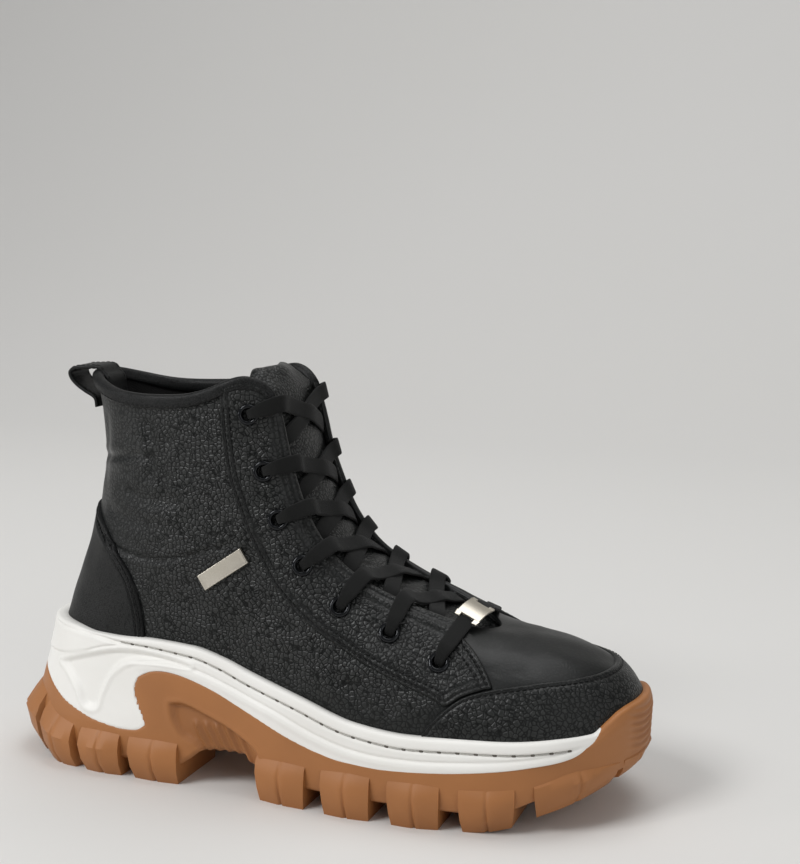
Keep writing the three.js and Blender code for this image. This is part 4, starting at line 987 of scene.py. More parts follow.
def softness(points: np.ndarray) -> np.ndarray:
    """Slow swell of leather over a last: three crossed sines of 20 to 45 mm."""
    x, y, z = points[..., 0], points[..., 1], points[..., 2]
    return (0.16 * np.sin(0.14 * x + 0.09 * z) + 0.12 * np.sin(0.21 * z - 0.11 * x + 0.3 * y)
        + 0.07 * np.sin(0.31 * x + 0.26 * z + 0.2 * y))


def at_edge(rib: np.ndarray, distance: np.ndarray | float) -> np.ndarray:
    """Climb at a distance below the top edge, by the length of the rib's last twentieth."""
    last = np.linalg.norm(skin(rib, np.ones_like(rib)) - skin(rib, 0.95 + 0 * rib), axis=-1)
    return 1 - 0.05 * distance / last


def off_borders(climb: np.ndarray) -> np.ndarray:
    """One on the open leather, easing to nothing at the feather edge and the top edge."""
    return ramp(climb, 0.0, 0.12) * (1 - ramp(climb, 0.94, 1.0))


def eyelet_frames() -> tuple[np.ndarray, np.ndarray]:
    """Skin points and outward directions of all eyelets, outer side first."""
    ribs = np.concatenate([EYELETS[:, 0], ROUND - EYELETS[:, 0]])
    climbs = np.concatenate([EYELETS[:, 1]] * 2)
    return skin(ribs, climbs), skin_normal(ribs, climbs)


def near_eyelets(points: np.ndarray) -> np.ndarray:
    """One inside the holes of the eyelets and nothing past them, at points of a surface."""
    middles, _ = eyelet_frames()
    away = np.full(points.shape[:-1], 1e9)
    for middle in middles:
        away = np.minimum(away, np.linalg.norm(points - middle, axis=-1))
    return 1 - ramp(away, *HOLE_RADII)


def climb_where(rib: np.ndarray, height: Callable) -> np.ndarray:
    """Climb at which each rib reaches a height that depends on how far along it is.

    Args:
        rib: Ribs to look on.
        height: Height in millimetres from places along in millimetres.

    Returns:
        The climbs, by halving the interval thirty times.
    """
    low, high = np.zeros_like(rib), np.ones_like(rib)
    for _ in range(30):
        middle = (low + high) / 2
        point = skin(rib, middle)
        below = point[..., 2] < height(point[..., 0])
        low, high = np.where(below, middle, low), np.where(below, high, middle)
    return high


def rim_height(x: np.ndarray) -> np.ndarray:
    """Height of the sole's rim less what an overlay runs down behind it."""
    return along_sole(RIM_TOP, x) - 3.0


def ribbon(path: np.ndarray, normals: np.ndarray, widths: np.ndarray, thick: np.ndarray,
        around: int = 14, square: float = 0.42) -> tuple[np.ndarray, list, np.ndarray]:
    """Flat strap along a path: a squared-off oval of its width and thickness, closed at ends.

    Args:
        path: Points of its middle.
        normals: Directions off its face.
        widths: Width at each point.
        thick: Thickness at each point.
        around: Points round the section.
        square: Power that squares the oval off; 1 leaves it round.

    Returns:
        Points, faces and pattern places in millimetres along and round.
    """
    along = unit(np.gradient(path, axis=0))
    side = unit(np.cross(along, normals))
    off = unit(np.cross(side, along))
    turn = np.arange(around) * 2 * np.pi / around
    c, s = np.cos(turn), np.sin(turn)
    across = np.sign(c) * np.abs(c) ** square
    up = np.sign(s) * np.abs(s) ** square
    ring = (path[:, None] + side[:, None] * (across[None, :] * widths[:, None] / 2)[..., None]
        + off[:, None] * (up[None, :] * thick[:, None] / 2)[..., None])
    place = run_along(path)
    uv = np.stack([np.repeat(place[:, None], around, 1), across[None, :] * widths[:, None] / 2],
        -1)
    return (*tube(ring), uv.reshape(-1, 2))


@dataclass
class Upper:
    """The hollow leather upper with its textile lining, padded under the collar."""

    columns: int = 494
    levels: int = 92
    edge_start: float = 0.988
    edge_round: float = 0.9
    hole_dip: float = 1.7
    padding: float = 1.1

    def grain(self, points: np.ndarray) -> np.ndarray:
        """Strength of the pebble: full on the quarters, pulled flat on the vamp."""
        along = points[..., 0] / UPPER_LENGTH
        low = ramp(points[..., 2], 40, 62)
        waist = 0.35 + 0.65 * ramp(along, 0.12, 0.30)
        return (1 - ramp(along, 0.70, 0.76)) * (0.45 + 0.55 * low) * waist

    def build(self) -> bpy.types.Object:
        """Builds the wall as a closed looped slab: skin and creases outside, lining inside."""
        ribs = np.arange(self.columns) * ROUND / self.columns
        climbs = np.concatenate([np.linspace(0, 0.985, self.levels), [0.991, 0.996, 1.0]])
        rib, climb = np.meshgrid(ribs, climbs, indexing="ij")
        bare = skin(rib, climb)
        normal = skin_normal(rib, climb)
        edge = 1 - np.sqrt(1 - ramp(climb, self.edge_start, 1.0) ** 2 * 0.96)
        body = off_borders(climb)
        lift = body * (folds(bare) + softness(bare)) - edge * self.edge_round
        lift = lift - self.hole_dip * near_eyelets(bare)
        over = bare + normal * lift[..., None]
        throat = ramp(np.minimum(rib, ROUND - rib), 7.0, 8.5)
        puff = self.padding * np.sin(np.pi * np.clip((climb - 0.62) / 0.36, 0, 1)) * (1 - throat)
        under = bare - normal * (WALL + puff - edge * self.edge_round)[..., None]
        under[:, 0, 2] = over[:, 0, 2]
        points, faces = closed_slab(over, under, True)
        grain = np.concatenate([self.grain(over).reshape(-1), np.zeros(under[..., 0].size)])
        piece = add_piece("upper_shell", points, faces, PEBBLED, {"grain": grain})
        piece.data.materials.append(LINING.dress())
        corners = np.zeros(len(piece.data.loops), np.int32)
        piece.data.loops.foreach_get("vertex_index", corners)
        lining = corners.reshape(-1, 4).min(1) >= over[..., 0].size
        piece.data.polygons.foreach_set("material_index", lining.astype(np.int32))
        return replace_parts(piece, "upper")


@dataclass
class Overlays:
    """Toe guard, heel counter and eyestays: leather laid over the upper and stitched down."""

    thickness: float = OVERLAY
    first_row: float = 1.7
    second_row: float = 4.0
    stitch: float = 2.1
    pitch: float = 2.7
    thread: float = 0.62
    thread_height: float = 0.5
    tuck: float = 0.35
    stitch_dip: float = 0.45
    hem_swell: float = 0.22
    backing: float = 0.8

    def levels(self, length: np.ndarray, count: int) -> np.ndarray:
        """Shares across a patch: close together by both borders, even between.

        Args:
            length: Width of the patch at each column in millimetres.
            count: Levels between the borders' own.

        Returns:
            Shares from 0 to 1, columns by levels.
        """
        near = np.array([0, 0.12, 0.4, 0.8, 1.25, 1.7, 2.15, 2.8, 3.5, 4.0, 4.5, 5.2])
        reach = np.minimum(near[None, :] / np.maximum(length, 1e-3)[:, None],
            np.linspace(0, 0.44, len(near))[None, :])
        middle = np.linspace(0, 1, count + 2)[None, 1:-1]
        between = reach[:, -1:] + (1 - 2 * reach[:, -1:]) * middle
        return np.concatenate([reach, between, 1 - reach[:, ::-1]], 1)

    def patch(self, name: str, ribs: np.ndarray, low: np.ndarray, high: np.ndarray,
            seam: np.ndarray, count: int, finish: Finish, grain: float, rows: tuple[float, ...],
            node: str) -> bpy.types.Object:
        """One overlay between two climbs of each rib, thickest inside and rounded at its seam.

        Its lift over the skin is a quarter circle of the distance from the seam, less a
        narrow bell where a row of stitches pulls it down.

        Args:
            name: Name of the piece.
            ribs: Ribs of its columns.
            low: Climb of its lower border at each.
            high: Climb of its upper border at each.
            seam: Side-view line of its seam in millimetres.
            count: Levels across it.
            finish: Its finish.
            grain: Strength of the pebble on it.
            rows: Distances of the stitch rows from the seam.
            node: The solid it stands for.

        Returns:
            The piece.
        """
        width = np.linalg.norm(skin(ribs, high) - skin(ribs, low), axis=-1)
        share = self.levels(width, count)
        climb = mix(low[:, None], high[:, None], share)
        rib = np.repeat(ribs[:, None], share.shape[1], 1)
        bare = skin(rib, climb)
        away, _ = distance_to(bare[..., [0, 2]], seam)
        rounded = quarter(away)
        lift = (self.thickness + CLEARANCE + self.tuck) * rounded - self.tuck
        pulled = ramp(away, 0.2, 1.2)
        for row in rows:
            lift -= self.stitch_dip * bell(away - row, 0.5)
            pulled *= 1 - 0.85 * bell(away - row, 0.9)
        body = off_borders(climb)
        lift += body * (softness(bare) + 0.8 * folds(bare))
        lift += self.hem_swell * bell(away - 2.9, 0.9) * (len(rows) > 1)
        hole = near_eyelets(bare)
        lift = mix(lift, -1.0 + 0 * lift, hole)
        normal = skin_normal(rib, climb)
        over = bare + normal * lift[..., None]
        under = bare - normal * (self.backing + hole)[..., None]
        points, faces = closed_slab(over, under)
        values = {"grain": np.tile(pulled.reshape(-1) * grain, 2)}
        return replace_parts(add_piece(name, points, faces, finish, values), node)

    def sew(self, rib: np.ndarray, climb: np.ndarray) -> tuple[np.ndarray, list]:
        """Stitches along a line on the leather.

        Args:
            rib: Ribs of the line, close together.
            climb: Climb at each.

        Returns:
            Points and faces.
        """
        middles, along, share = stitch_places(lifted(rib, climb, THREAD_SEAT), self.pitch)
        at, number = share * (len(rib) - 1), np.arange(len(rib))
        off = skin_normal(np.interp(at, number, rib), np.interp(at, number, climb))
        return beads(middles, along, off, self.stitch, self.thread, self.thread_height)

    def stitched(self, name: str, seam: np.ndarray, side: Side, inward: int) -> None:
        """Two rows of stitches beside a seam, each a path at an even distance from it.

        Args:
            name: Name of the piece.
            seam: Side-view line in millimetres.
            side: Side of the shoe.
            inward: Which side of the line the rows lie on, 1 or -1.
        """
        parts = []
        for row in (self.first_row, self.second_row):
            along = unit(np.gradient(seam, axis=0))
            beside = seam + inward * row * np.stack([-along[:, 1], along[:, 0]], -1)
            placed = on_skin(beside, side)
            placed = placed[placed[:, 1] < 0.992]
            parts.append(self.sew(side.rib(placed[:, 0]), placed[:, 1]))
        add_piece(name, *merge(parts), THREAD)

    def guard(self) -> None:
        """The toe guard: from the sole's rim up to its seam, round the toe."""
        seam = resample(in_upper(GUARD_SEAM), 80)
        ribs = np.linspace(12.6, ROUND - 12.6, 330)
        low, high = climb_where(ribs, rim_height), climb_where(ribs, partial(on_upper, GUARD_SEAM))
        keep = high > low + 0.002
        self.patch("toe_guard_leather", ribs[keep], low[keep], high[keep], seam, 26, PEBBLED, 0.7,
            (self.first_row,), "toe_guard")
        line = climb_where(ribs, lambda x: on_upper(GUARD_SEAM, x) - self.first_row)
        seen = line > low + 0.01
        add_piece("toe_guard_stitches", *self.sew(ribs[seen], line[seen]), THREAD)

    def counter(self) -> None:
        """The heel counter: smooth leather round the heel under its falling seam."""
        seam = resample(in_upper(COUNTER_SEAM), 80)
        one = np.concatenate([np.linspace(0, 2.2, 50), np.linspace(2.22, 4.6, 170)])
        ribs = np.concatenate([-one[:0:-1], one])
        low = climb_where(ribs, rim_height)
        high = climb_where(ribs, partial(on_upper, COUNTER_SEAM))
        keep = high > low + 0.002
        self.patch("heel_counter_leather", ribs[keep], low[keep], high[keep], seam, 40, SMOOTH,
            1.0, (self.first_row, self.second_row), "heel_counter")
        for side in Side:
            self.stitched(f"heel_counter_stitches_{side.name.lower()}", seam[8:-6], side, -1)

    def eyestay(self, side: Side) -> None:
        """One eyestay: between its seam and the throat's edge, with a rounded front end.

        Args:
            side: Side of the shoe.
        """
        seam = resample(in_upper(EYESTAY_SEAM), 240)
        placed = on_skin(seam, side)
        tip = int(placed[:, 0].argmax())
        below, front = placed[:tip + 1], placed[tip:][::-1]
        rising = np.maximum.accumulate(below[:, 0]) + np.arange(len(below)) * 1e-6
        ribs = np.concatenate([np.linspace(rising[0], 13.6, 250), np.linspace(13.62, rising[-1],
            60)])
        low = np.interp(ribs, rising, below[:, 1])
        high = np.where(ribs > front[0, 0], np.interp(ribs, np.maximum.accumulate(front[:, 0])
            + np.arange(len(front)) * 1e-6, front[:, 1]), 1.0)
        high = np.where(ribs < front[:, 0].min(), 1.0, high)
        high = np.maximum(high, low + 0.001)
        name = side.name.lower()
        edge = skin(side.rib(np.linspace(6, 14.6, 90)), np.ones(90))[:, [0, 2]]
        outline = np.vstack([seam, edge[::-1]])
        self.patch(f"eyestay_leather_{name}", side.rib(ribs), low, high, outline, 22, PEBBLED, 0.9,
            (self.first_row, self.second_row), f"eyestay_{name}")
        clear = seam[:, 1] - on_upper(GUARD_SEAM, seam[:, 0])
        near = np.flatnonzero((clear < 3.0) & (seam[:, 0] > 0.6 * UPPER_LENGTH))
        for part, line in (("seam", seam[10:near[0]]), ("front", seam[near[-1]:])):
            self.stitched(f"eyestay_{part}_stitches_{name}", line, side, 1)

    def build(self) -> None:
        """Builds all four overlays and their stitches."""
        self.guard()
        self.counter()
        for side in Side:
            self.eyestay(side)


@dataclass
class Collar:
    """The binding folded over the collar's edge, and the pull loop at the heel."""

    loop_width: float = 16.0
    loop_thickness: float = 1.8
    # Section of the binding: distance off the skin and above the edge
    section: tuple[tuple[float, float], ...] = ((-0.3, -5.4), (0.6, -5.3), (1.3, -5.1),
        (1.55, -4.6), (1.6, -3.2), (1.6, -1.6), (1.5, -0.6), (1.1, 0.1), (0.3, 0.6), (-0.8, 0.75),
        (-1.9, 0.6), (-2.7, 0.1), (-3.2, -0.6), (-3.5, -1.6), (-3.6, -3.2), (-3.6, -4.6),
        (-3.3, -5.1), (-2.4, -5.4), (-1.4, -5.3))

    def binding(self) -> None:
        """The binding: its section carried along the edge from throat to throat."""
        ribs = np.linspace(-BINDING_END, BINDING_END, 300)
        off, up = np.array(self.section).T
        rib, aside = np.meshgrid(ribs, off, indexing="ij")
        high = np.repeat(up[None, :], len(ribs), 0)
        climb = at_edge(rib, np.maximum(-high, 0))
        points = lifted(rib, climb, aside)
        edge = skin(ribs, np.ones(len(ribs)))
        rise = unit(edge - skin(ribs, at_edge(ribs, 4.0)))
        points = points + rise[:, None] * np.maximum(high, 0)[..., None]
        flat, faces = tube(points)
        piece = add_piece("collar_binding_leather", flat, faces, SMOOTH,
            {"grain": np.ones(len(flat))})
        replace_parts(piece, "collar_binding")
        path = lifted(ribs, at_edge(ribs, 4.3), 1.6)
        middles, along, share = stitch_places(path, 2.7)
        place = mix(-BINDING_END, BINDING_END, share)
        off_skin = skin_normal(place, at_edge(place, 4.3))
        add_piece("collar_binding_stitches", *beads(middles, along, off_skin, 2.1, 0.6, 0.45),
            THREAD)

    def pull_loop(self) -> None:
        """The pull loop: a folded strap up the heel, out over the collar and down inside."""
        zero = np.zeros(1)
        top = skin(zero, zero + 1)[0]

        def wall(distance: float, off: float) -> np.ndarray:
            """Spot of the heel's wall below the edge."""
            return lifted(zero, at_edge(zero, distance), off)[0]

        thick = self.loop_thickness / 2
        outside = [(-4.6, -9.4), (-8.6, -6.8), (-11.6, -3.6), (-12.2, -0.8), (-9.6, 1.0),
            (-4.0, 1.5), (2.8, 1.5), (5.4, -1.4)]
        spots = [wall(17, 1.6 + thick), wall(12.5, 1.8 + thick)]
        spots += [top + [x, 0, z] for x, z in outside]
        spots += [wall(5, -5.0 - thick), wall(9, -4.6 - thick), wall(14, -4.4 - thick)]
        path = resample(np.array(spots), 110)
        along = unit(np.gradient(path, axis=0))
        normals = np.stack([-along[:, 2], 0 * along[:, 0], along[:, 0]], -1)
        count = len(path)
        points, faces, _ = ribbon(path, normals, np.full(count, self.loop_width),
            np.full(count, self.loop_thickness), 20, 0.3)
        piece = add_piece("pull_loop_strap", points, faces, SMOOTH,
            {"grain": np.ones(len(points))})
        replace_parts(piece, "pull_loop")
        parts = []
        for aside in (-1, 1):
            line = path + [0, aside * (self.loop_width / 2 - 1.6), 0]
            for face in (-1, 1):
                middles, turned, share = stitch_places(line + normals * face * (thick + 0.02), 2.6)
                number = np.clip((share * (count - 1)).astype(int), 0, count - 1)
                parts.append(beads(middles, turned, normals[number] * face, 1.9, 0.55, 0.35))
        add_piece("pull_loop_stitches", *merge(parts), THREAD)

    def build(self) -> None:
        """Builds the binding and the pull loop."""
        self.binding()
        self.pull_loop()


def spread(rib: np.ndarray, level: int) -> np.ndarray:
    """How far the sole stands off the feather edge at one of its five levels."""
    column = SPREADS[:, level] * SOLE_SPREAD
    return closed_spline(np.concatenate([column, column[-2:0:-1]]), rib)


def flank_out(rib: np.ndarray, share: np.ndarray) -> np.ndarray:
    """Spread of the sole's side at a share of the way from its rim down to its base.

    Straight runs between the rim, band and rubber, rounded by the mean of three readings.
    """
    rim, band, rubber = spread(rib, 0), spread(rib, 1), spread(rib, 2)
    under = rim + 1.2
    total = np.zeros_like(share)
    for step in (-0.08, 0.0, 0.08):
        t = np.clip(share + step, 0, 1)
        total += (rim + (under - rim) * np.clip(t / 0.15, 0, 1) + (band - under)
            * np.clip((t - 0.15) / 0.35, 0, 1) + (rubber - band) * np.clip((t - 0.5) / 0.3, 0, 1)
            - 0.2 * rubber * np.clip((t - 0.8) / 0.2, 0, 1))
    return total / 3


def sole_rib(x: np.ndarray, level: int, side: Side) -> np.ndarray:
    """Rib of one side at which the sole's edge at a level is that far along."""
    ribs = np.linspace(0, LAST_RIB, 800)
    edge, out = feather(side.rib(ribs))
    reach = edge[:, 0] + out[:, 0] * spread(side.rib(ribs), level)
    return np.interp(x, np.maximum.accumulate(reach), ribs)


@dataclass
class Sole:
    """The pale midsole over a gum rubber outsole with its lugs."""

    columns: int = 430
    band_levels: int = 36
    gum_columns: int = 760
    gum_levels: int = 66
    backing: float = 3.0
    stitch_pitch: float = 7.4
    groove_depth: float = 0.95
    groove_width: float = 0.62
    scoop_depth: float = 1.5
    facet_rise: float = 0.7
    rim_round: float = 1.2
    rim_drop: float = 1.1
    panel_depth: float = 2.6
    panel_rib: float = 1.7
    panel_pitch: float = 0.0185
    toe_rib: float = 0.5
    toe_pitch: float = 3.1
    step_in: float = 2.4
    lug_gap: float = 2.5
    fore_gap: float = 4.0
    facets: np.ndarray = field(default_factory=lambda: np.concatenate([np.linspace(0, 0.44, 7),
        [0.465, 0.485, 0.5, 0.515, 0.535], np.linspace(0.56, 1, 7)]))
    white: np.ndarray = field(default_factory=lambda: np.vstack([in_sole(COLOUR_LINE),
        in_sole([[0.985, 0.9], [0.985, 2.0], [-0.3, 2.0], [-0.3, 0.72], [-0.1, 0.64]])]))

    def rim(self, rib: np.ndarray) -> tuple[np.ndarray, np.ndarray, np.ndarray, np.ndarray]:
        """Feather point, outward direction, rim height and base height at each rib."""
        edge, out = feather(rib)
        x = edge[..., 0] + out[..., 0] * spread(rib, 0)
        low = edge[..., 0] + out[..., 0] * spread(rib, 2)
        return edge, out, along_sole(RIM_TOP, x), along_sole(BASE_LINE, low)

    def tucked(self, rib: np.ndarray) -> np.ndarray:
        """Points 1 mm inside the skin, just below the height of the rim."""
        return lifted(rib, climb_where(rib, lambda x: along_sole(RIM_TOP, x) - 0.4), -1.0)

    def pale_relief(self, seen: np.ndarray, under: np.ndarray) -> np.ndarray:
        """Relief of the pale side: groove, crease, heel facet and the scoop with its ridge.

        Args:
            seen: Side-view points in millimetres.
            under: Distance below the rim, square to it.

        Returns:
            Lift in millimetres.
        """
        x = seen[..., 0] / UPPER_LENGTH
        groove = steady(GROOVE, x)
        off = (under - groove) / self.groove_width
        toe = 1 - ramp(x, 0.90, 0.95)
        lift = -self.groove_depth * bell(off) * ramp(x, 0.0, 0.16) * toe
        lift += 0.45 * toe * np.sin(np.pi * np.clip(under / np.maximum(groove, 2.5), 0, 1))
        away, share = distance_to(seen, resample(in_sole(BAND_CREASE), 60))
        ends = ramp(share, 0, 0.04) * ramp(1 - share, 0, 0.05)
        crease = np.interp(x, *np.array(BAND_CREASE).T) * HEEL_RIM
        lift += ends * (-0.55 * bell(away, 0.75) + 0.45 * bell(away - 2.4, 1.8)
            * (seen[..., 1] < crease))
        d = depth_in(seen, resample(in_sole(SCOOP + SCOOP[:1]), 90))
        lift += -self.scoop_depth * ramp(d, 0, 2.2) + 0.55 * bell(d + 1.0, 0.9)
        f = depth_in(seen, resample(in_sole(HEEL_FACET + HEEL_FACET[:1]), 70))
        return lift + self.facet_rise * ramp(f, -0.2, 0.9) - 0.35 * bell(f + 0.5, 0.55)

    def band_grid(self, side: Side) -> tuple[np.ndarray, np.ndarray]:
        """Outer and inner grid of the pale band on one side, ruled from rim to colour line."""
        line = resample(in_sole(COLOUR_LINE), self.columns)
        tops = np.array(COLOUR_LINE)[:, 2] * UPPER_LENGTH
        tops[0] = -0.03 * UPPER_LENGTH
        corners = in_sole(COLOUR_LINE)
        place = run_along(corners)
        top_x = np.interp(np.linspace(0, place[-1], self.columns), place, tops)
        rib_top = sole_rib(top_x, 0, side)
        rib_low = sole_rib(line[:, 0], 1, side)
        rib_low[0] = rib_top[0] = 0.0
        drop = np.maximum(self.rim(side.rib(rib_low))[2] - line[:, 1], 0.6)
        near = np.concatenate([[0, .08, .25, .5, .8, 1.2], np.arange(1.55, 9, .36)])
        near = near[None, :] * np.minimum(drop / 12.5, 1)[:, None]
        far = np.linspace(0, 1, self.band_levels + 1)[1:]
        depth = np.concatenate([near, near[:, -1:] + (drop[:, None] - near[:, -1:]) * far], 1)
        share = depth / drop[:, None]
        rib = side.rib(mix(rib_top[:, None], rib_low[:, None], share))
        edge, out, top, base = self.rim(rib)
        z = top - depth
        spread_here = flank_out(rib, np.clip((top - z) / (top - base), 0, 1))
        bare = edge + out * spread_here[..., None]
        bare[..., 2] = z
        seen = bare[..., [0, 2]]
        slope = (along_sole(RIM_TOP, bare[..., 0] + 2) - along_sole(RIM_TOP, bare[..., 0] - 2)) / 4
        under = depth / np.sqrt(1 + slope ** 2)
        lift = self.pale_relief(seen, under)
        lift -= self.rim_drop * (1 - quarter(depth, self.rim_round))
        away, _ = distance_to(seen, line)
        lift -= 0.6 * (1 - quarter(away, 0.6))
        over = bare + out * lift[..., None]
        under_grid = bare + out * (lift - self.backing)[..., None]
        inner = self.tucked(rib[:, 0])
        inner[:, 2] = z[:, 0] - 0.25
        deep = inner - [0, 0, 2.5]
        half = mix(inner, over[:, 0], 0.8)
        half[:, 2] = z[:, 0]
        over = np.concatenate([inner[:, None], half[:, None], over], 1)
        low_half = half - [0, 0, 2.5]
        under_grid = np.concatenate([deep[:, None], low_half[:, None], under_grid], 1)
        under_grid[:, 2:8, 2] -= np.linspace(2.0, 0.3, 6)[None]
        return over, under_grid

    def midsole(self) -> None:
        """The pale midsole, both sides in one piece round the heel, and its stitched groove."""
        outer, inner = self.band_grid(Side.OUTER), self.band_grid(Side.INNER)
        over = np.concatenate([inner[0][:0:-1], outer[0]])
        under = np.concatenate([inner[1][:0:-1], outer[1]])
        points, faces = closed_slab(over, under)
        piece = add_piece("midsole_moulding", points, faces, FOAM,
            {"shade": np.zeros(len(points))})
        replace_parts(piece, "midsole")
        thread, holes = [], []
        for side in Side:
            x = np.linspace(0.168, 0.925, 500) * UPPER_LENGTH
            rib = side.rib(sole_rib(x, 0, side))
            edge, out, top, base = self.rim(rib)
            slope = np.gradient(top, x)
            z = top - steady(GROOVE, x / UPPER_LENGTH) * np.sqrt(1 + slope ** 2)
            path = edge + out * (flank_out(rib, (top - z) / (top - base)) - 0.55)[:, None]
            path[:, 2] = z
            middles, along, share = stitch_places(path, self.stitch_pitch)
            at = share * (len(x) - 1)
            number = np.arange(len(x))
            off = read_at(at, number, out)
            thread.append(beads(middles, along, off, self.stitch_pitch - 1.5, 0.75, 0.6))
            # Darker beads at the stitch ends paint the shade in the needle holes.
            ends = middles + along * self.stitch_pitch / 2
            holes.append(beads(ends - off * 0.05, along, off, 1.9, 0.95, 0.7))
        add_piece("rim_groove_thread", *merge(thread), PALE_THREAD)
        add_piece("rim_groove_needle_holes", *merge(holes), HOLE)

    def gum_relief(self, points: np.ndarray) -> np.ndarray:
        """Relief of the rubber: sunken arch panel with slanted ribs, and ribs on the toe."""
        seen = points[..., [0, 2]]
        x, z = seen[..., 0] / UPPER_LENGTH, seen[..., 1] / HEEL_RIM
        ring = resample(in_sole(ARCH_PANEL + ARCH_PANEL[:1]), 80)
        d = depth_in(seen, ring)
        lift = -self.panel_depth * ramp(d, 0, 1.8) + 0.3 * bell(d + 0.9, 0.8)
        lean = 0.3145 + 0.026 * (0.44 - z) / 0.225
        turn = (x - lean) / self.panel_pitch
        near = np.abs(turn - np.round(turn))
        wide = ramp(z, 0.20, 0.24) * (1 - ramp(z, 0.42, 0.47)) * (np.round(turn) >= 0) * (
            np.round(turn) <= 5)
        lift += self.panel_rib * bell(near, 0.2) * wide * ramp(d, 0.4, 1.6)
        y = points[..., 1]
        front = ramp(x, 0.99, 1.012) * (1 - ramp(np.abs(y), 11, 18))
        tall = ramp(points[..., 2], 27, 30) * (1 - ramp(points[..., 2], 44, 48))
        wave = np.sin(2 * np.pi * (points[..., 2] - 0.012 * y ** 2) / self.toe_pitch)
        return lift + front * tall * (self.toe_rib * wave - 0.2)

    def outsole(self) -> None:
        """The rubber's body: a looped grid from the cup's middle over the rim to the base.

        It steps in by the pale band's thickness wherever that covers it.
        """
        rib1 = np.arange(self.gum_columns) * ROUND / self.gum_columns
        near = np.array([0, .08, .25, .5, .8, 1.2])
        edge1, out1, top1, base1 = self.rim(rib1)
        rest = np.linspace(0, 1, self.gum_levels + 1)[1:]
        depth = np.concatenate([np.repeat(near[None], len(rib1), 0),
            1.2 + ((top1 - base1)[:, None] - 1.2) * rest], 1)
        rib = np.repeat(rib1[:, None], depth.shape[1], 1)
        z = top1[:, None] - depth
        out = flank_out(rib, depth / (top1 - base1)[:, None])
        bare = edge1[:, None] + out1[:, None] * out[..., None]
        bare[..., 2] = z
        inside_white = ramp(depth_in(bare[..., [0, 2]], self.white), 0.25, 1.3)
        lift = (1 - inside_white) * self.gum_relief(bare) - self.step_in * inside_white
        lift -= self.rim_drop * (1 - quarter(depth, self.rim_round))
        lift -= 1.4 * (1 - np.sqrt(1 - ramp(depth / (top1 - base1)[:, None], 0.94, 1.0) ** 2))
        side = bare + out1[:, None] * lift[..., None]
        side[..., 2] -= 2.2 * inside_white * (1 - ramp(depth, 0, 3.0))
        inner = self.tucked(rib1)
        inner[:, 2] = side[:, 0, 2] - 0.2
        foot = skin(rib1, 0 * rib1) - skin_normal(rib1, 0 * rib1) * 1.0
        middle = edge1.copy()
        middle[:, 1] = 0
        middle[:, 2] = along_sole(CUP_FLOOR, middle[:, 0]) - 0.4
        foot[:, 2] = middle[:, 2]
        base = side[:, -1].copy()
        base[:, 1] = 0
        base[:, 2] = along_sole(BASE_LINE, base[:, 0])
        symmetric = (base + np.roll(base[::-1], 1, 0)) / 2
        near_base = mix(side[:, -1], symmetric, 0.08)
        grid = np.concatenate([middle[:, None], foot[:, None], inner[:, None], side,
            near_base[:, None], symmetric[:, None]], 1)
        points = grid.reshape(-1, 3)
        faces = outward(points, grid_faces(len(rib1), grid.shape[1], True))
        piece = add_piece("outsole_moulding", points, faces, GUM,
            {"shade": self.gum_shade(points)})
        weld(piece, 0.02)
        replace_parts(piece, "outsole")

    def gum_shade(self, points: np.ndarray) -> np.ndarray:
        """Painted shade: darker inside the sunken arch panel and low down between the lugs."""
        d = depth_in(points[..., [0, 2]], in_sole(ARCH_PANEL))
        return 0.35 * ramp(d, 0, 3) + 0.25 * (1 - ramp(points[..., 2], 9, 16))

    def lug(self, ribs: np.ndarray, inner: np.ndarray) -> tuple[np.ndarray, list]:
        """One lug: rings of its outer edge, two walls and inner edge, from the floor up.

        Its outer face is two flats that meet in a low ridge, and it narrows to its foot.

        Args:
            ribs: Ribs of its outer edge.
            inner: Plan points of its inner edge, one for each rib.

        Returns:
            Points and faces.
        """
        edge, out = feather(ribs)
        u = self.facets
        tent = 1 - np.abs(u - 0.5) / 0.5
        groove = bell((u - 0.5) * np.linalg.norm(edge[-1] - edge[0]), 0.7)
        rubber, lug, foot = spread(ribs, 2), spread(ribs, 3), spread(ribs, 4)
        levels = [(0.0, foot + 0.9 * tent - 0.4 - 1.3 * groove),
            (0.33, mix(foot, lug, 0.72) + 1.6 * tent - 0.8 - 1.1 * groove),
            (0.72, lug + 1.8 * tent - 0.9 - 0.9 * groove),
            (0.98, mix(rubber, lug, 0.3) + 0.5 * tent - 0.3 * groove), (1.25, rubber - 2.5)]
        rings = []
        for share, reach in levels:
            p = edge + out * reach[:, None]
            q = p.copy()
            q[:, :2] = inner
            narrow = 0.10 * (1 - min(share / 0.6, 1))
            middle_p, middle_q = p.mean(0), q.mean(0)
            p, q = mix(p, middle_p, narrow), mix(q, middle_q, narrow)
            for line in (p, q):
                low = along_sole(FLOOR_LINE, line[:, 0])
                line[:, 2] = mix(low, along_sole(LUG_TOP, line[:, 0]), share)
            q[:, 2] = np.minimum(q[:, 2], along_sole(BASE_LINE, q[:, 0]) + 3)
            rings.append(np.concatenate([p, q[::-1]]))
        points = np.concatenate(rings)
        around = 2 * len(ribs)
        a = np.arange(len(ribs) - 1)
        cap = np.stack([a, a + 1, around - 2 - a, around - 1 - a], -1)
        top = cap + (len(levels) - 1) * around
        faces = np.concatenate([ring_faces(len(levels), around), cap[:, ::-1], top])
        return points, outward(points, faces).tolist()

    def lugs(self) -> None:
        """All lugs, between gaps a named width apart along the sole's edge."""
        parts = []
        ribs = np.linspace(0, LAST_RIB, 900)
        for side in Side:
            edge, out = feather(side.rib(ribs))
            ring = edge + out * spread(side.rib(ribs), 3)[:, None]
            place = run_along(ring)

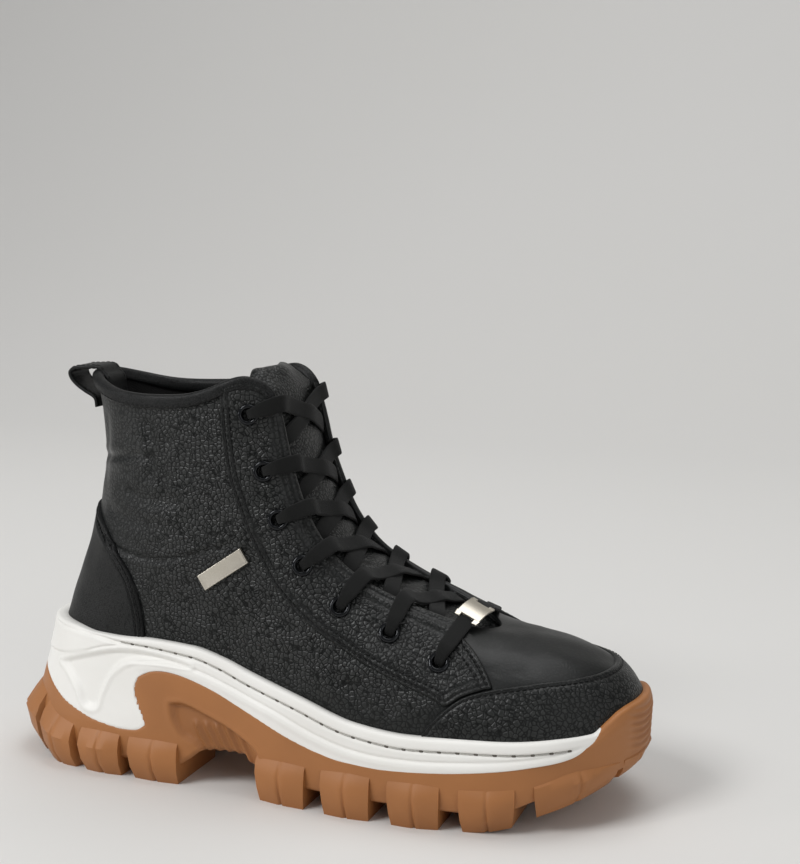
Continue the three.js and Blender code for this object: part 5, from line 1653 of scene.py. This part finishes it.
            def at(share: float) -> float:
                """Distance along the edge at a share of the upper's length."""
                return float(np.interp(share * UPPER_LENGTH, np.maximum.accumulate(ring[:, 0]),
                    place))

            back = float(np.interp(BACK_GAP_RIB, ribs, place))
            toe = float(np.interp(TOE_GAP_RIB, ribs, place))
            cuts = [*((gap, self.lug_gap) for gap in (0.0, back, *map(at, HEEL_GAPS))),
                (at(ARCH_ENDS[0]), 0.0)]
            fore = [(at(ARCH_ENDS[1]), 0.0), *((at(gap), self.fore_gap) for gap in FORE_GAPS),
                (toe, 1.4), (place[-1], 0.6)]
            for row in (cuts, fore):
                for (start, before), (end, after) in zip(row[:-1], row[1:]):
                    span = mix(start + before, end - after, self.facets)
                    own = np.interp(span, place, ribs)
                    p = feather(side.rib(own))[0]
                    inner = np.stack([p[:, 0], side.value * np.full(len(span), 6.0)], -1)
                    centre = np.array([HEEL_CENTRE * UPPER_LENGTH, 0.0])
                    if end <= cuts[2][0] + 0.1 and row is cuts:
                        inner = mix(p[:, :2], centre, 0.55)
                    if start >= toe - 0.1:
                        inner = mix(p[:, :2], np.array([0.86 * UPPER_LENGTH, 0.0]), 0.6)
                    parts.append(self.lug(side.rib(own), inner))
        points, faces = merge(parts)
        # The lugs darken towards the floor: painted shade.
        piece = add_piece("outsole_lugs", points, faces, GUM,
            {"shade": 0.3 * (1 - ramp(points[:, 2], 0, 9))}, sharp=34)
        weld(piece, 0.005)

    def build(self) -> None:
        """Builds midsole, outsole and lugs."""
        self.midsole()
        self.outsole()
        self.lugs()


def weld(piece: bpy.types.Object, distance: float) -> None:
    """Joins points of a piece that lie on one another, distance in millimetres."""
    work = bmesh.new()
    work.from_mesh(piece.data)
    bmesh.ops.remove_doubles(work, verts=work.verts, dist=distance * MM)
    bmesh.ops.recalc_face_normals(work, faces=work.faces)
    work.to_mesh(piece.data)
    work.free()


@dataclass
class Tongue:
    """The padded tongue under the facings, and where it lies for the lace over it."""

    thickness: float = 4.5
    underlap: float = 10.0
    above: float = 10.0
    taper: float = 0.14
    columns: int = 49
    crown: tuple[tuple[float, float], ...] = ((8, 0.05), (10, 0.10), (12, 0.07), (13.3, -0.01),
        (14.4, -0.06), (15.5, -0.03))

    def rows(self, far: np.ndarray, near: np.ndarray, gap: float,
            crown: np.ndarray) -> tuple[np.ndarray, np.ndarray]:
        """Rows of seven spots: under one facing, over a parabola's crown, under the other.

        Args:
            far: Rib and climb of the spots furthest under the facing.
            near: Rib and climb of the spots at the facing's edge.
            gap: Gap under the wall.
            crown: Height of the crown, share of the throat's width.

        Returns:
            Points and directions, rows by seven.
        """
        under = WALL + gap
        spots = {}
        for side in Side:
            spots[side] = [(lifted(side.rib(p[:, 0]), p[:, 1], -under),
                skin_normal(side.rib(p[:, 0]), p[:, 1])) for p in (far, near)]
            a, b = spots[side][0][0], spots[side][1][0]
            spots[side][1] = (b + unit(b - a) * 3 * CLEARANCE, spots[side][1][1])
        (of, on), (inf, inn) = spots[Side.OUTER], spots[Side.INNER]
        up = unit(on[1] + inn[1])
        width = np.linalg.norm(on[0] - inn[0], axis=-1, keepdims=True)
        control = (on[0] + inn[0]) / 2 + up * 2 * crown[:, None] * width
        points, normals = [of[0], on[0]], [of[1], on[1]]
        for t in (0.25, 0.5, 0.75):
            points.append((1 - t) ** 2 * on[0] + 2 * t * (1 - t) * control + t * t * inn[0])
            normals.append(unit(mix(unit(mix(on[1], inn[1], t)), up, 0.5)))
        return (np.stack(points + [inn[0], inf[0]], 1), np.stack(normals + [inn[1], inf[1]], 1))

    def grid(self) -> tuple[np.ndarray, np.ndarray]:
        """Seven-spot rows of the whole tongue, from its free top to its end in the vamp."""
        ribs = np.linspace(8, 15.5, 64)
        far = np.stack([ribs, at_edge(ribs, self.underlap)], -1)
        points, normals = self.rows(far, np.stack([ribs, np.ones_like(ribs)], -1), 1.5 * CLEARANCE,
            steady([list(c) for c in self.crown], ribs))
        ends = self.rows(np.array([[17.0, .86], [18.0, .84]]), np.array([[17.5, .9], [18.5, .87]]),
            4 * CLEARANCE, np.zeros(2))
        away = unit(points[0, 3] - points[6, 3])
        share = np.array([1, 0.97, 0.9, 0.78, 0.6, 0.4, 0.2])[:, None, None]
        above = points[0][None] + away * share * self.above
        above[..., 1] *= 1 - self.taper * share[..., 0]
        aside = np.abs(np.linspace(-1, 1, 7))
        above[..., 0] -= share[..., 0] * (4 + 6 * aside)
        above[..., 2] -= share[..., 0] * 4 * aside ** 3
        top = np.repeat(normals[:1], len(share), 0)
        return (np.concatenate([above, points, ends[0]]), np.concatenate([top, normals, ends[1]]))

    def over(self, rib: np.ndarray, across: np.ndarray, lift: np.ndarray) -> np.ndarray:
        """Point over the tongue at a rib of the throat's edge and a place across, -1 to 1."""
        points, normals = self.grid()
        row = np.clip((rib - 8) / 7.5, 0, 1) * 63 + 7
        column = np.clip(3 + 2 * across, 0, 5.99)
        i, k = np.floor(row).astype(int), np.floor(column).astype(int)
        i = np.minimum(i, 69)
        a, b = (row - i)[:, None], (column - k)[:, None]
        both = [mix(mix(g[i, k], g[i, k + 1], b), mix(g[i + 1, k], g[i + 1, k + 1], b), a)
            for g in (points, normals)]
        normal = unit(both[1])
        return np.concatenate([both[0] + normal * lift[:, None], normal], 1)

    def build(self) -> None:
        """Builds the tongue: its rows splined across, thinner and rounded to its borders."""
        points, normals = self.grid()
        both = np.concatenate([points, normals * 0.01], -1)
        fine = np.stack([resample(row, self.columns) for row in both])
        points, normals = fine[..., :3], unit(fine[..., 3:])
        u = np.linspace(-1, 1, self.columns)[None, :]
        v = run_along(points[:, 24])
        top = 1 - quarter(v, 3.0)[:, None]
        sides = 1 - quarter(1 - np.abs(u), 0.14)
        round_off = np.maximum(top, sides)
        swell = 0.25 * np.sin(v * 0.21)[:, None] * (1 - u ** 2)
        seam = 0.35 * bell(v[:, None] - 6.2, 0.5) * (np.abs(u) < 0.8)
        lift = -self.thickness / 2 * round_off + swell - 0.2 - seam
        over = points + normals * lift[..., None]
        thick = self.thickness * (1 - 0.96 * round_off)
        under = over - normals * thick[..., None]
        flat, faces = closed_slab(over, under)
        piece = add_piece("tongue_padding", flat, faces, PEBBLED,
            {"grain": np.full(len(flat), 0.8)})
        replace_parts(piece, "tongue")


@dataclass
class Insole:
    """The padded insole on the cup's floor."""

    thickness: float = 4.0
    across: int = 31

    def build(self) -> None:
        """Builds the insole: cross rows between the walls, dished, with rounded edges."""
        rib = np.linspace(0.02, LAST_RIB - 0.02, 150)
        reach = {}
        for side in Side:
            own = side.rib(rib)
            climb = climb_where(own, lambda x: along_sole(CUP_FLOOR, x) + self.thickness)
            reach[side] = lifted(own, climb, -WALL - 2 * CLEARANCE)
        share = (1 - np.cos(np.linspace(0, np.pi, self.across))) / 2
        rows = mix(reach[Side.OUTER][:, None], reach[Side.INNER][:, None], share[None, :, None])
        floor = along_sole(CUP_FLOOR, rows[..., 0])
        edge = 4 * share * (1 - share)
        ends = ramp(rib, 0, 1.2) * ramp(LAST_RIB - rib, 0, 0.8)
        tall = (0.35 + 0.65 * np.minimum(edge / 0.12, 1) ** 0.5)[None, :] * (0.6 + 0.4
            * ends[:, None])
        over, under = rows.copy(), rows.copy()
        over[..., 2] = floor + self.thickness * tall - 0.5 * edge[None, :] ** 2 * ends[:, None]
        under[..., 2] = floor + 0.1
        points, faces = closed_slab(over, under)
        piece = add_piece("insole_pad", points, faces, LINING)
        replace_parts(piece, "insole")


@dataclass
class Trim:
    """Eyelets, the bare side plate and the bare lace tag."""

    plate: tuple[float, float, float] = (25.0, 7.5, 1.2)
    tag: tuple[float, float, float] = (16.0, 11.0, 1.0)
    # Section of an eyelet: distance from its middle and above the leather
    ring: tuple[tuple[float, float], ...] = ((4.50, -0.10), (4.55, 0.25), (4.40, 0.65),
        (4.05, 0.98), (3.60, 1.12), (3.15, 1.02), (2.80, 0.72), (2.58, 0.25), (2.50, -0.60),
        (2.50, -3.30), (2.75, -3.75), (3.30, -3.95), (3.90, -3.85), (4.10, -3.60), (3.90, -3.42),
        (2.95, -3.30), (2.82, -2.60), (2.82, -0.12))

    def eyelets(self) -> None:
        """Rolled rings: one section turned about each eyelet's outward direction."""
        section = np.array(self.ring)
        middles, normals = eyelet_frames()
        around, count = 40, len(section)
        turn = np.arange(around) * 2 * np.pi / around
        for side, rows in ((Side.OUTER, range(7)), (Side.INNER, range(7, 14))):
            parts = []
            for row in rows:
                n = normals[row]
                a = unit(np.cross(n, [0.0, 0.0, 1.0]))
                b = np.cross(n, a)
                spoke = np.cos(turn)[:, None] * a + np.sin(turn)[:, None] * b
                points = (middles[row] + n * EYELET_SEAT + spoke[:, None] * section[None, :, :1]
                    + n * section[None, :, 1:])
                k = np.arange(count)
                i = np.arange(around)[:, None]
                nxt, j = (k + 1) % count, (i + 1) % around
                quads = np.stack([i * count + k, j * count + k, j * count + nxt, i * count + nxt],
                    -1).reshape(-1, 4)
                flat = points.reshape(-1, 3)
                parts.append((flat, outward(flat - middles[row], quads)))
            name = side.name.lower()
            piece = add_piece(f"eyelet_rings_{name}", *merge(parts), RING)
            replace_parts(piece, *(f"eyelet_{name}_{i + 1}" for i in range(7)))

    def side_plate(self) -> None:
        """The bare plate: a rounded slab laid on the skin, with a faint raised border."""
        low, high = skin(np.array([5.45, 7.1]), np.array([0.34, 0.46]))
        centre = (low + high) / 2
        normal = skin_normal(np.array([6.275]), np.array([0.40]))[0]
        along = unit(high - low)
        across = unit(np.cross(normal, along))
        length, width, thick = self.plate
        a = np.sort(np.concatenate([np.linspace(-.5, .5, 25), [-.494, .494, -.485, .485]]))
        b = np.sort(np.concatenate([np.linspace(-.5, .5, 11), [-.48, .48, -.455, .455]]))
        ga, gb = np.meshgrid(a * length, b * width, indexing="ij")
        flat = centre + ga[..., None] * along + gb[..., None] * across
        spots = on_skin(flat.reshape(-1, 3)[:, [0, 2]])
        base = skin(spots[:, 0], spots[:, 1]).reshape(flat.shape)
        off = skin_normal(spots[:, 0], spots[:, 1]).reshape(flat.shape)
        edge = np.minimum(length / 2 - np.abs(ga), width / 2 - np.abs(gb))
        lift = thick * quarter(edge, 0.4) + 0.15
        lift -= 0.16 * ramp(edge, 0.55, 0.85)
        points, faces = closed_slab(base + off * (0.35 + lift)[..., None], base + off * 0.25)
        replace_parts(add_piece("side_plate_bare", points, faces, PLATED), "side_plate")

    def lace_tag(self, centre: np.ndarray, normal: np.ndarray, across: np.ndarray) -> None:
        """The bare tag: an outline notched at both ends, bent a little over the lace.

        Args:
            centre: Middle of the lace under it.
            normal: Direction off the lace.
            across: Direction of the lace.
        """
        length, width, thick = self.tag
        half, wide, arm, notch = length / 2, width / 2, width * 0.28, length * 0.14
        y = np.concatenate([[-half], np.linspace(notch - half, half - notch, 13), [half]])
        along = unit(np.cross(across, normal))
        normal = np.cross(along, across)
        upper, lower = np.full(len(y), wide), np.full(len(y), -wide)
        parts = []
        bands = [(y[1:-1], lower[1:-1], upper[1:-1])]
        for end in (y[:2], y[-2:]):
            bands += [(end, np.full(2, arm), np.full(2, wide)),
                (end, np.full(2, -wide), np.full(2, -arm))]
        for places, low, high in bands:
            bend = -1.3 * (places / half) ** 2
            rows = []
            for lift in (thick, 0.0):
                base = centre + places[:, None] * across + normal * (bend + lift + 0.75)[:, None]
                rows.append(np.stack([base + along * low[:, None], base, base + along
                    * high[:, None]], 1))
            if abs(low[0]) < wide - 0.01 or abs(high[0]) < wide - 0.01:
                rows = [np.stack([r[:, 0], (r[:, 0] + r[:, 2]) / 2, r[:, 2]], 1) for r in rows]
            parts.append(closed_slab(rows[0], rows[1]))
        piece = add_piece("lace_tag_bare", *merge(parts), PLATED, sharp=30)
        weld(piece, 0.005)
        finish_edges(piece, 0.22, 2)
        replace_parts(piece, "lace_tag")


@dataclass
class Lace:
    """One flat lace through all fourteen eyelets, its ends hidden under the top pair."""

    width: float = LACE_WIDTH
    thickness: float = LACE_THICKNESS
    start: float = 0.38
    arch: float = 3.2
    across: tuple[float, ...] = (-0.84, -0.45, -0.05, 0.35, 0.72)
    tongue: Tongue = field(default_factory=Tongue)

    def edge_rib(self, level: int) -> float:
        """Rib of the throat's edge nearest to an eyelet."""
        spot = skin(EYELETS[level:level + 1, 0], EYELETS[level:level + 1, 1])
        ribs = np.linspace(8.1, 15.4, 300)
        gap = np.linalg.norm(skin(ribs, np.ones(300)) - spot, axis=-1)
        return float(ribs[gap.argmin()])

    def spot(self, point: np.ndarray, normal: np.ndarray, width: float,
            thick: float) -> np.ndarray:
        """One control of the lace's path as a row of eight numbers."""
        return np.concatenate([point, normal * 0.01, [width * 0.01, thick * 0.01]])

    def into(self, level: int, side: Side) -> list[np.ndarray]:
        """From the throat's edge over the facing, down through an eyelet and under.

        Args:
            level: Eyelet counted from the collar.
            side: Side of the shoe.

        Returns:
            Controls of the path.
        """
        place = np.array([side.rib(EYELETS[level, 0])])
        climb = EYELETS[level:level + 1, 1]
        base = skin(place, climb)[0]
        n = skin_normal(place, climb)[0]
        last = level == LAST_EYELET
        forward = (0.55 if side is Side.OUTER else 1.1) * last
        edge_place = np.array([side.rib(self.edge_rib(level) + forward)])
        edge = lifted(edge_place, np.ones(1), EYELET_SEAT + self.thickness + 0.55 - 0.8 * last)[0]
        edge_n = skin_normal(edge_place, np.ones(1))[0]
        d = edge - base
        d = unit(d - n * (d @ n))
        w, t = self.width, self.thickness
        over = EYELET_SEAT + 1.12 + t / 2 + 0.12
        return [self.spot(edge, edge_n, w, t), self.spot(base + d * 6.4 + n * (over + 0.25), n,
            w * 0.9, t), self.spot(base + d * 3.4 + n * over, unit(n * 0.97 - d * 0.25), w * 0.68,
            t * 1.2), self.spot(base + d * 1.0 + n * (over - 1.2), unit(n * 0.4 - d), 4.2, 2.0),
            self.spot(base + n * -0.8, -d, 4.0, 2.2), self.spot(base + d * 0.4 - n * (WALL + 1.0),
            unit(-n * 0.5 - d), 4.2, 1.8)]

    def crossing(self, level: int, side: Side) -> list[np.ndarray]:
        """From under the far facing over the tongue to the throat's edge at a level."""
        end = self.edge_rib(level)
        begin = mix(self.edge_rib(level + 1), end, self.start)
        places = np.array((-1.12,) + self.across)
        ribs = mix(begin, end, np.clip(np.arange(len(places)) - 1, 0, None) / len(self.across))
        raised = 0.35 + self.thickness / 2 + 0.25
        lift = np.full(len(places), raised)
        lift[0] = 0.1
        if side is Side.OUTER:
            lift += 1.55 * bell(places + 0.05, 0.36)
        lift[-1] += 1.5
        rows = self.tongue.over(ribs, side.value * places, lift)
        tilt = 0.16 * np.sin(1.7 * level + 0.9 * side.value)
        return [self.spot(r[:3], unit(r[3:] + tilt * np.array([1.0, 0.0, 0.4])), self.width if i
            else 6.0, self.thickness) for i, r in enumerate(rows)]

    def half(self, side: Side) -> list[np.ndarray]:
        """Controls of one half of the lace, from its bar up to its end at the top."""
        spots = self.into(LAST_EYELET, side)
        sign, here = -1.0, side
        for level in reversed(range(LAST_EYELET)):
            here = Side.INNER if here is Side.OUTER else Side.OUTER
            run = self.crossing(level, here) + self.into(level, here)
            for row in run:
                row[3:6] *= sign
            spots += run
            sign = -sign
        return spots

    def build(self, trim: Trim) -> None:
        """Builds the lace and the tag over its bar.

        Args:
            trim: Maker of the tag.
        """
        ends = [self.into(LAST_EYELET, side)[0] for side in Side]
        share = np.array([0.10, 0.22, 0.36, 0.70])[:, None]
        off = unit(mix(ends[0][3:6], ends[1][3:6], share))
        middle = mix(ends[0][:3], ends[1][:3], share) + off * self.arch * 4 * share * (1 - share)
        bar = [self.spot(p, n, self.width, self.thickness) for p, n in zip(middle, off)]
        spots = self.half(Side.OUTER)[::-1] + bar + self.half(Side.INNER)
        fine = resample(np.array(spots), 2400)
        soft = np.hanning(15) / np.hanning(15).sum()
        held = np.pad(fine, ((7, 7), (0, 0)), "edge")
        fine = np.stack([np.convolve(c, soft, "valid") for c in held.T], -1)
        path, normals = fine[:, :3], unit(fine[:, 3:6])
        log.info("lace length %.0f mm", run_along(path)[-1])
        points, faces, uv = ribbon(path, normals, fine[:, 6] * 100, fine[:, 7] * 100, 14, 0.35)
        piece = add_piece("lace_woven", points, faces, LACE, uv=uv)
        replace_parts(piece, "lace_bar", *(f"lace_crossing_{i + 1}" for i in range(6)))
        trim.lace_tag(middle[1], off[1], unit(middle[2] - middle[0]))


@dataclass
class Studio:
    """Pale sweep, soft lights and the camera at the photograph's angle."""

    azimuth: float = 20.2
    elevation: float = 8.9
    roll: float = -0.5
    distance: float = 0.655
    lens: float = 62.5
    target: tuple[float, float, float] = (0.035, 0.00965, 0.1539)
    air: float = 0.38
    # Name, place, spot aimed at, side in metres and power in watts of each light
    lights: tuple[tuple, ...] = (("key_softbox", (-1.1, -1.5, 2.0), (0, 0, 0.08), 1.0, 36.0),
        ("fill_softbox", (1.9, -1.3, 1.1), (0, 0, 0.08), 1.6, 9.0),
        ("top_softbox", (0.2, 0.5, 2.2), (0, 0, 0.1), 1.4, 17.0),
        ("side_strip", (-1.5, -1.0, 0.45), (0, 0, 0.1), 0.35, 4.0))

    def place(self, thing: bpy.types.Object, *columns: np.ndarray) -> None:
        """Links a camera or lamp and sets its right, up, back and place, as columns."""
        matrix = np.eye(4)
        matrix[:3] = np.stack(columns, -1)
        thing.matrix_world = Matrix(matrix.tolist())
        bpy.context.scene.collection.objects.link(thing)

    def camera(self) -> None:
        """Camera on a ray from its target, turned a little about its own axis."""
        a, e, r = (math.radians(v) for v in (self.azimuth, self.elevation, self.roll))
        back = np.array([math.sin(a) * math.cos(e), -math.cos(a) * math.cos(e), math.sin(e)])
        right = np.array([math.cos(a), math.sin(a), 0.0])
        up = np.cross(back, right)
        right, up = (math.cos(r) * right + math.sin(r) * up, -math.sin(r) * right + math.cos(r)
            * up)
        data = bpy.data.cameras.new("photo_camera")
        data.lens, data.sensor_width = self.lens, 36.0
        data.clip_start, data.clip_end = 0.02, 50.0
        camera = bpy.data.objects.new("photo_camera", data)
        self.place(camera, right, up, back, np.array(self.target) + back * self.distance)
        bpy.context.scene.camera = camera

    def sweep(self) -> None:
        """Floor that curves up into a backdrop: a straight run, a quarter circle, a wall."""
        turn = np.linspace(0, np.pi / 2, 24)
        y = np.concatenate([[-6.0, 0.9], 0.9 + 1.4 * np.sin(turn), [2.3]])
        z = np.concatenate([[0.0, 0.0], 1.4 - 1.4 * np.cos(turn), [5.0]])
        points = [(x, b, c) for b, c in zip(y, z) for x in (-7.0, 7.0)]
        mesh = bpy.data.meshes.new("studio_sweep")
        mesh.from_pydata(points, [], [(2 * i, 2 * i + 1, 2 * i + 3, 2 * i + 2)
            for i in range(len(y) - 1)])
        mesh.polygons.foreach_set("use_smooth", np.ones(len(mesh.polygons), bool))
        s = Shader("painted_paper_sweep")
        place = s.add("TexCoord").outputs["Object"]
        haze = s.add("TexNoise", {"Vector": place, "Scale": 1.2, "Detail": 1.0})
        tone = s.add("MixRGB", {"Fac": haze, "Color1": linear("#dcdbd9"),
            "Color2": linear("#d8d7d4")})
        mesh.materials.append(s.close({"Base Color": tone, "Roughness": 0.8}))
        floor = bpy.data.objects.new("studio_sweep", mesh)
        bpy.context.scene.collection.objects.link(floor)
        floor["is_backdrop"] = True

    def light(self, name: str, place: tuple, aim: tuple, size: float, power: float) -> None:
        """One soft square light.

        Args:
            name: Its name.
            place: Where it is, in metres.
            aim: What it points at.
            size: Its side in metres.
            power: Its power in watts.
        """
        data = bpy.data.lights.new(name, "AREA")
        data.size, data.energy, data.shape = size, power, "SQUARE"
        lamp = bpy.data.objects.new(name, data)
        back = unit(np.array(place) - np.array(aim))
        right = unit(np.cross([0.0, 0.0, 1.0], back))
        self.place(lamp, right, np.cross(back, right), back, place)

    def build(self) -> None:
        """Sets the camera, sweep, lights, world and a plain view transform."""
        self.camera()
        self.sweep()
        for row in self.lights:
            self.light(*row)
        world = bpy.data.worlds.new("studio_air")
        world.use_nodes = True
        air = world.node_tree.nodes["Background"]
        air.inputs["Color"].default_value = linear("#e9e9ea")
        air.inputs["Strength"].default_value = self.air
        bpy.context.scene.world = world
        bpy.context.scene.view_settings.view_transform = "Standard"


def corners() -> list[list[float]]:
    """The whole object's box as plain lists."""
    return [[float(v) for v in corner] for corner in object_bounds()]


def main() -> None:
    """Loads the frame and builds the boot's sub-assemblies in order."""
    logging.basicConfig(level=logging.INFO, format="%(name)s %(message)s")
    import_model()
    Studio().build()
    Upper().build()
    Overlays().build()
    Collar().build()
    Sole().build()
    Tongue().build()
    Insole().build()
    trim = Trim()
    trim.eyelets()
    trim.side_plate()
    Lace().build(trim)


if __name__ == "__main__":
    main()
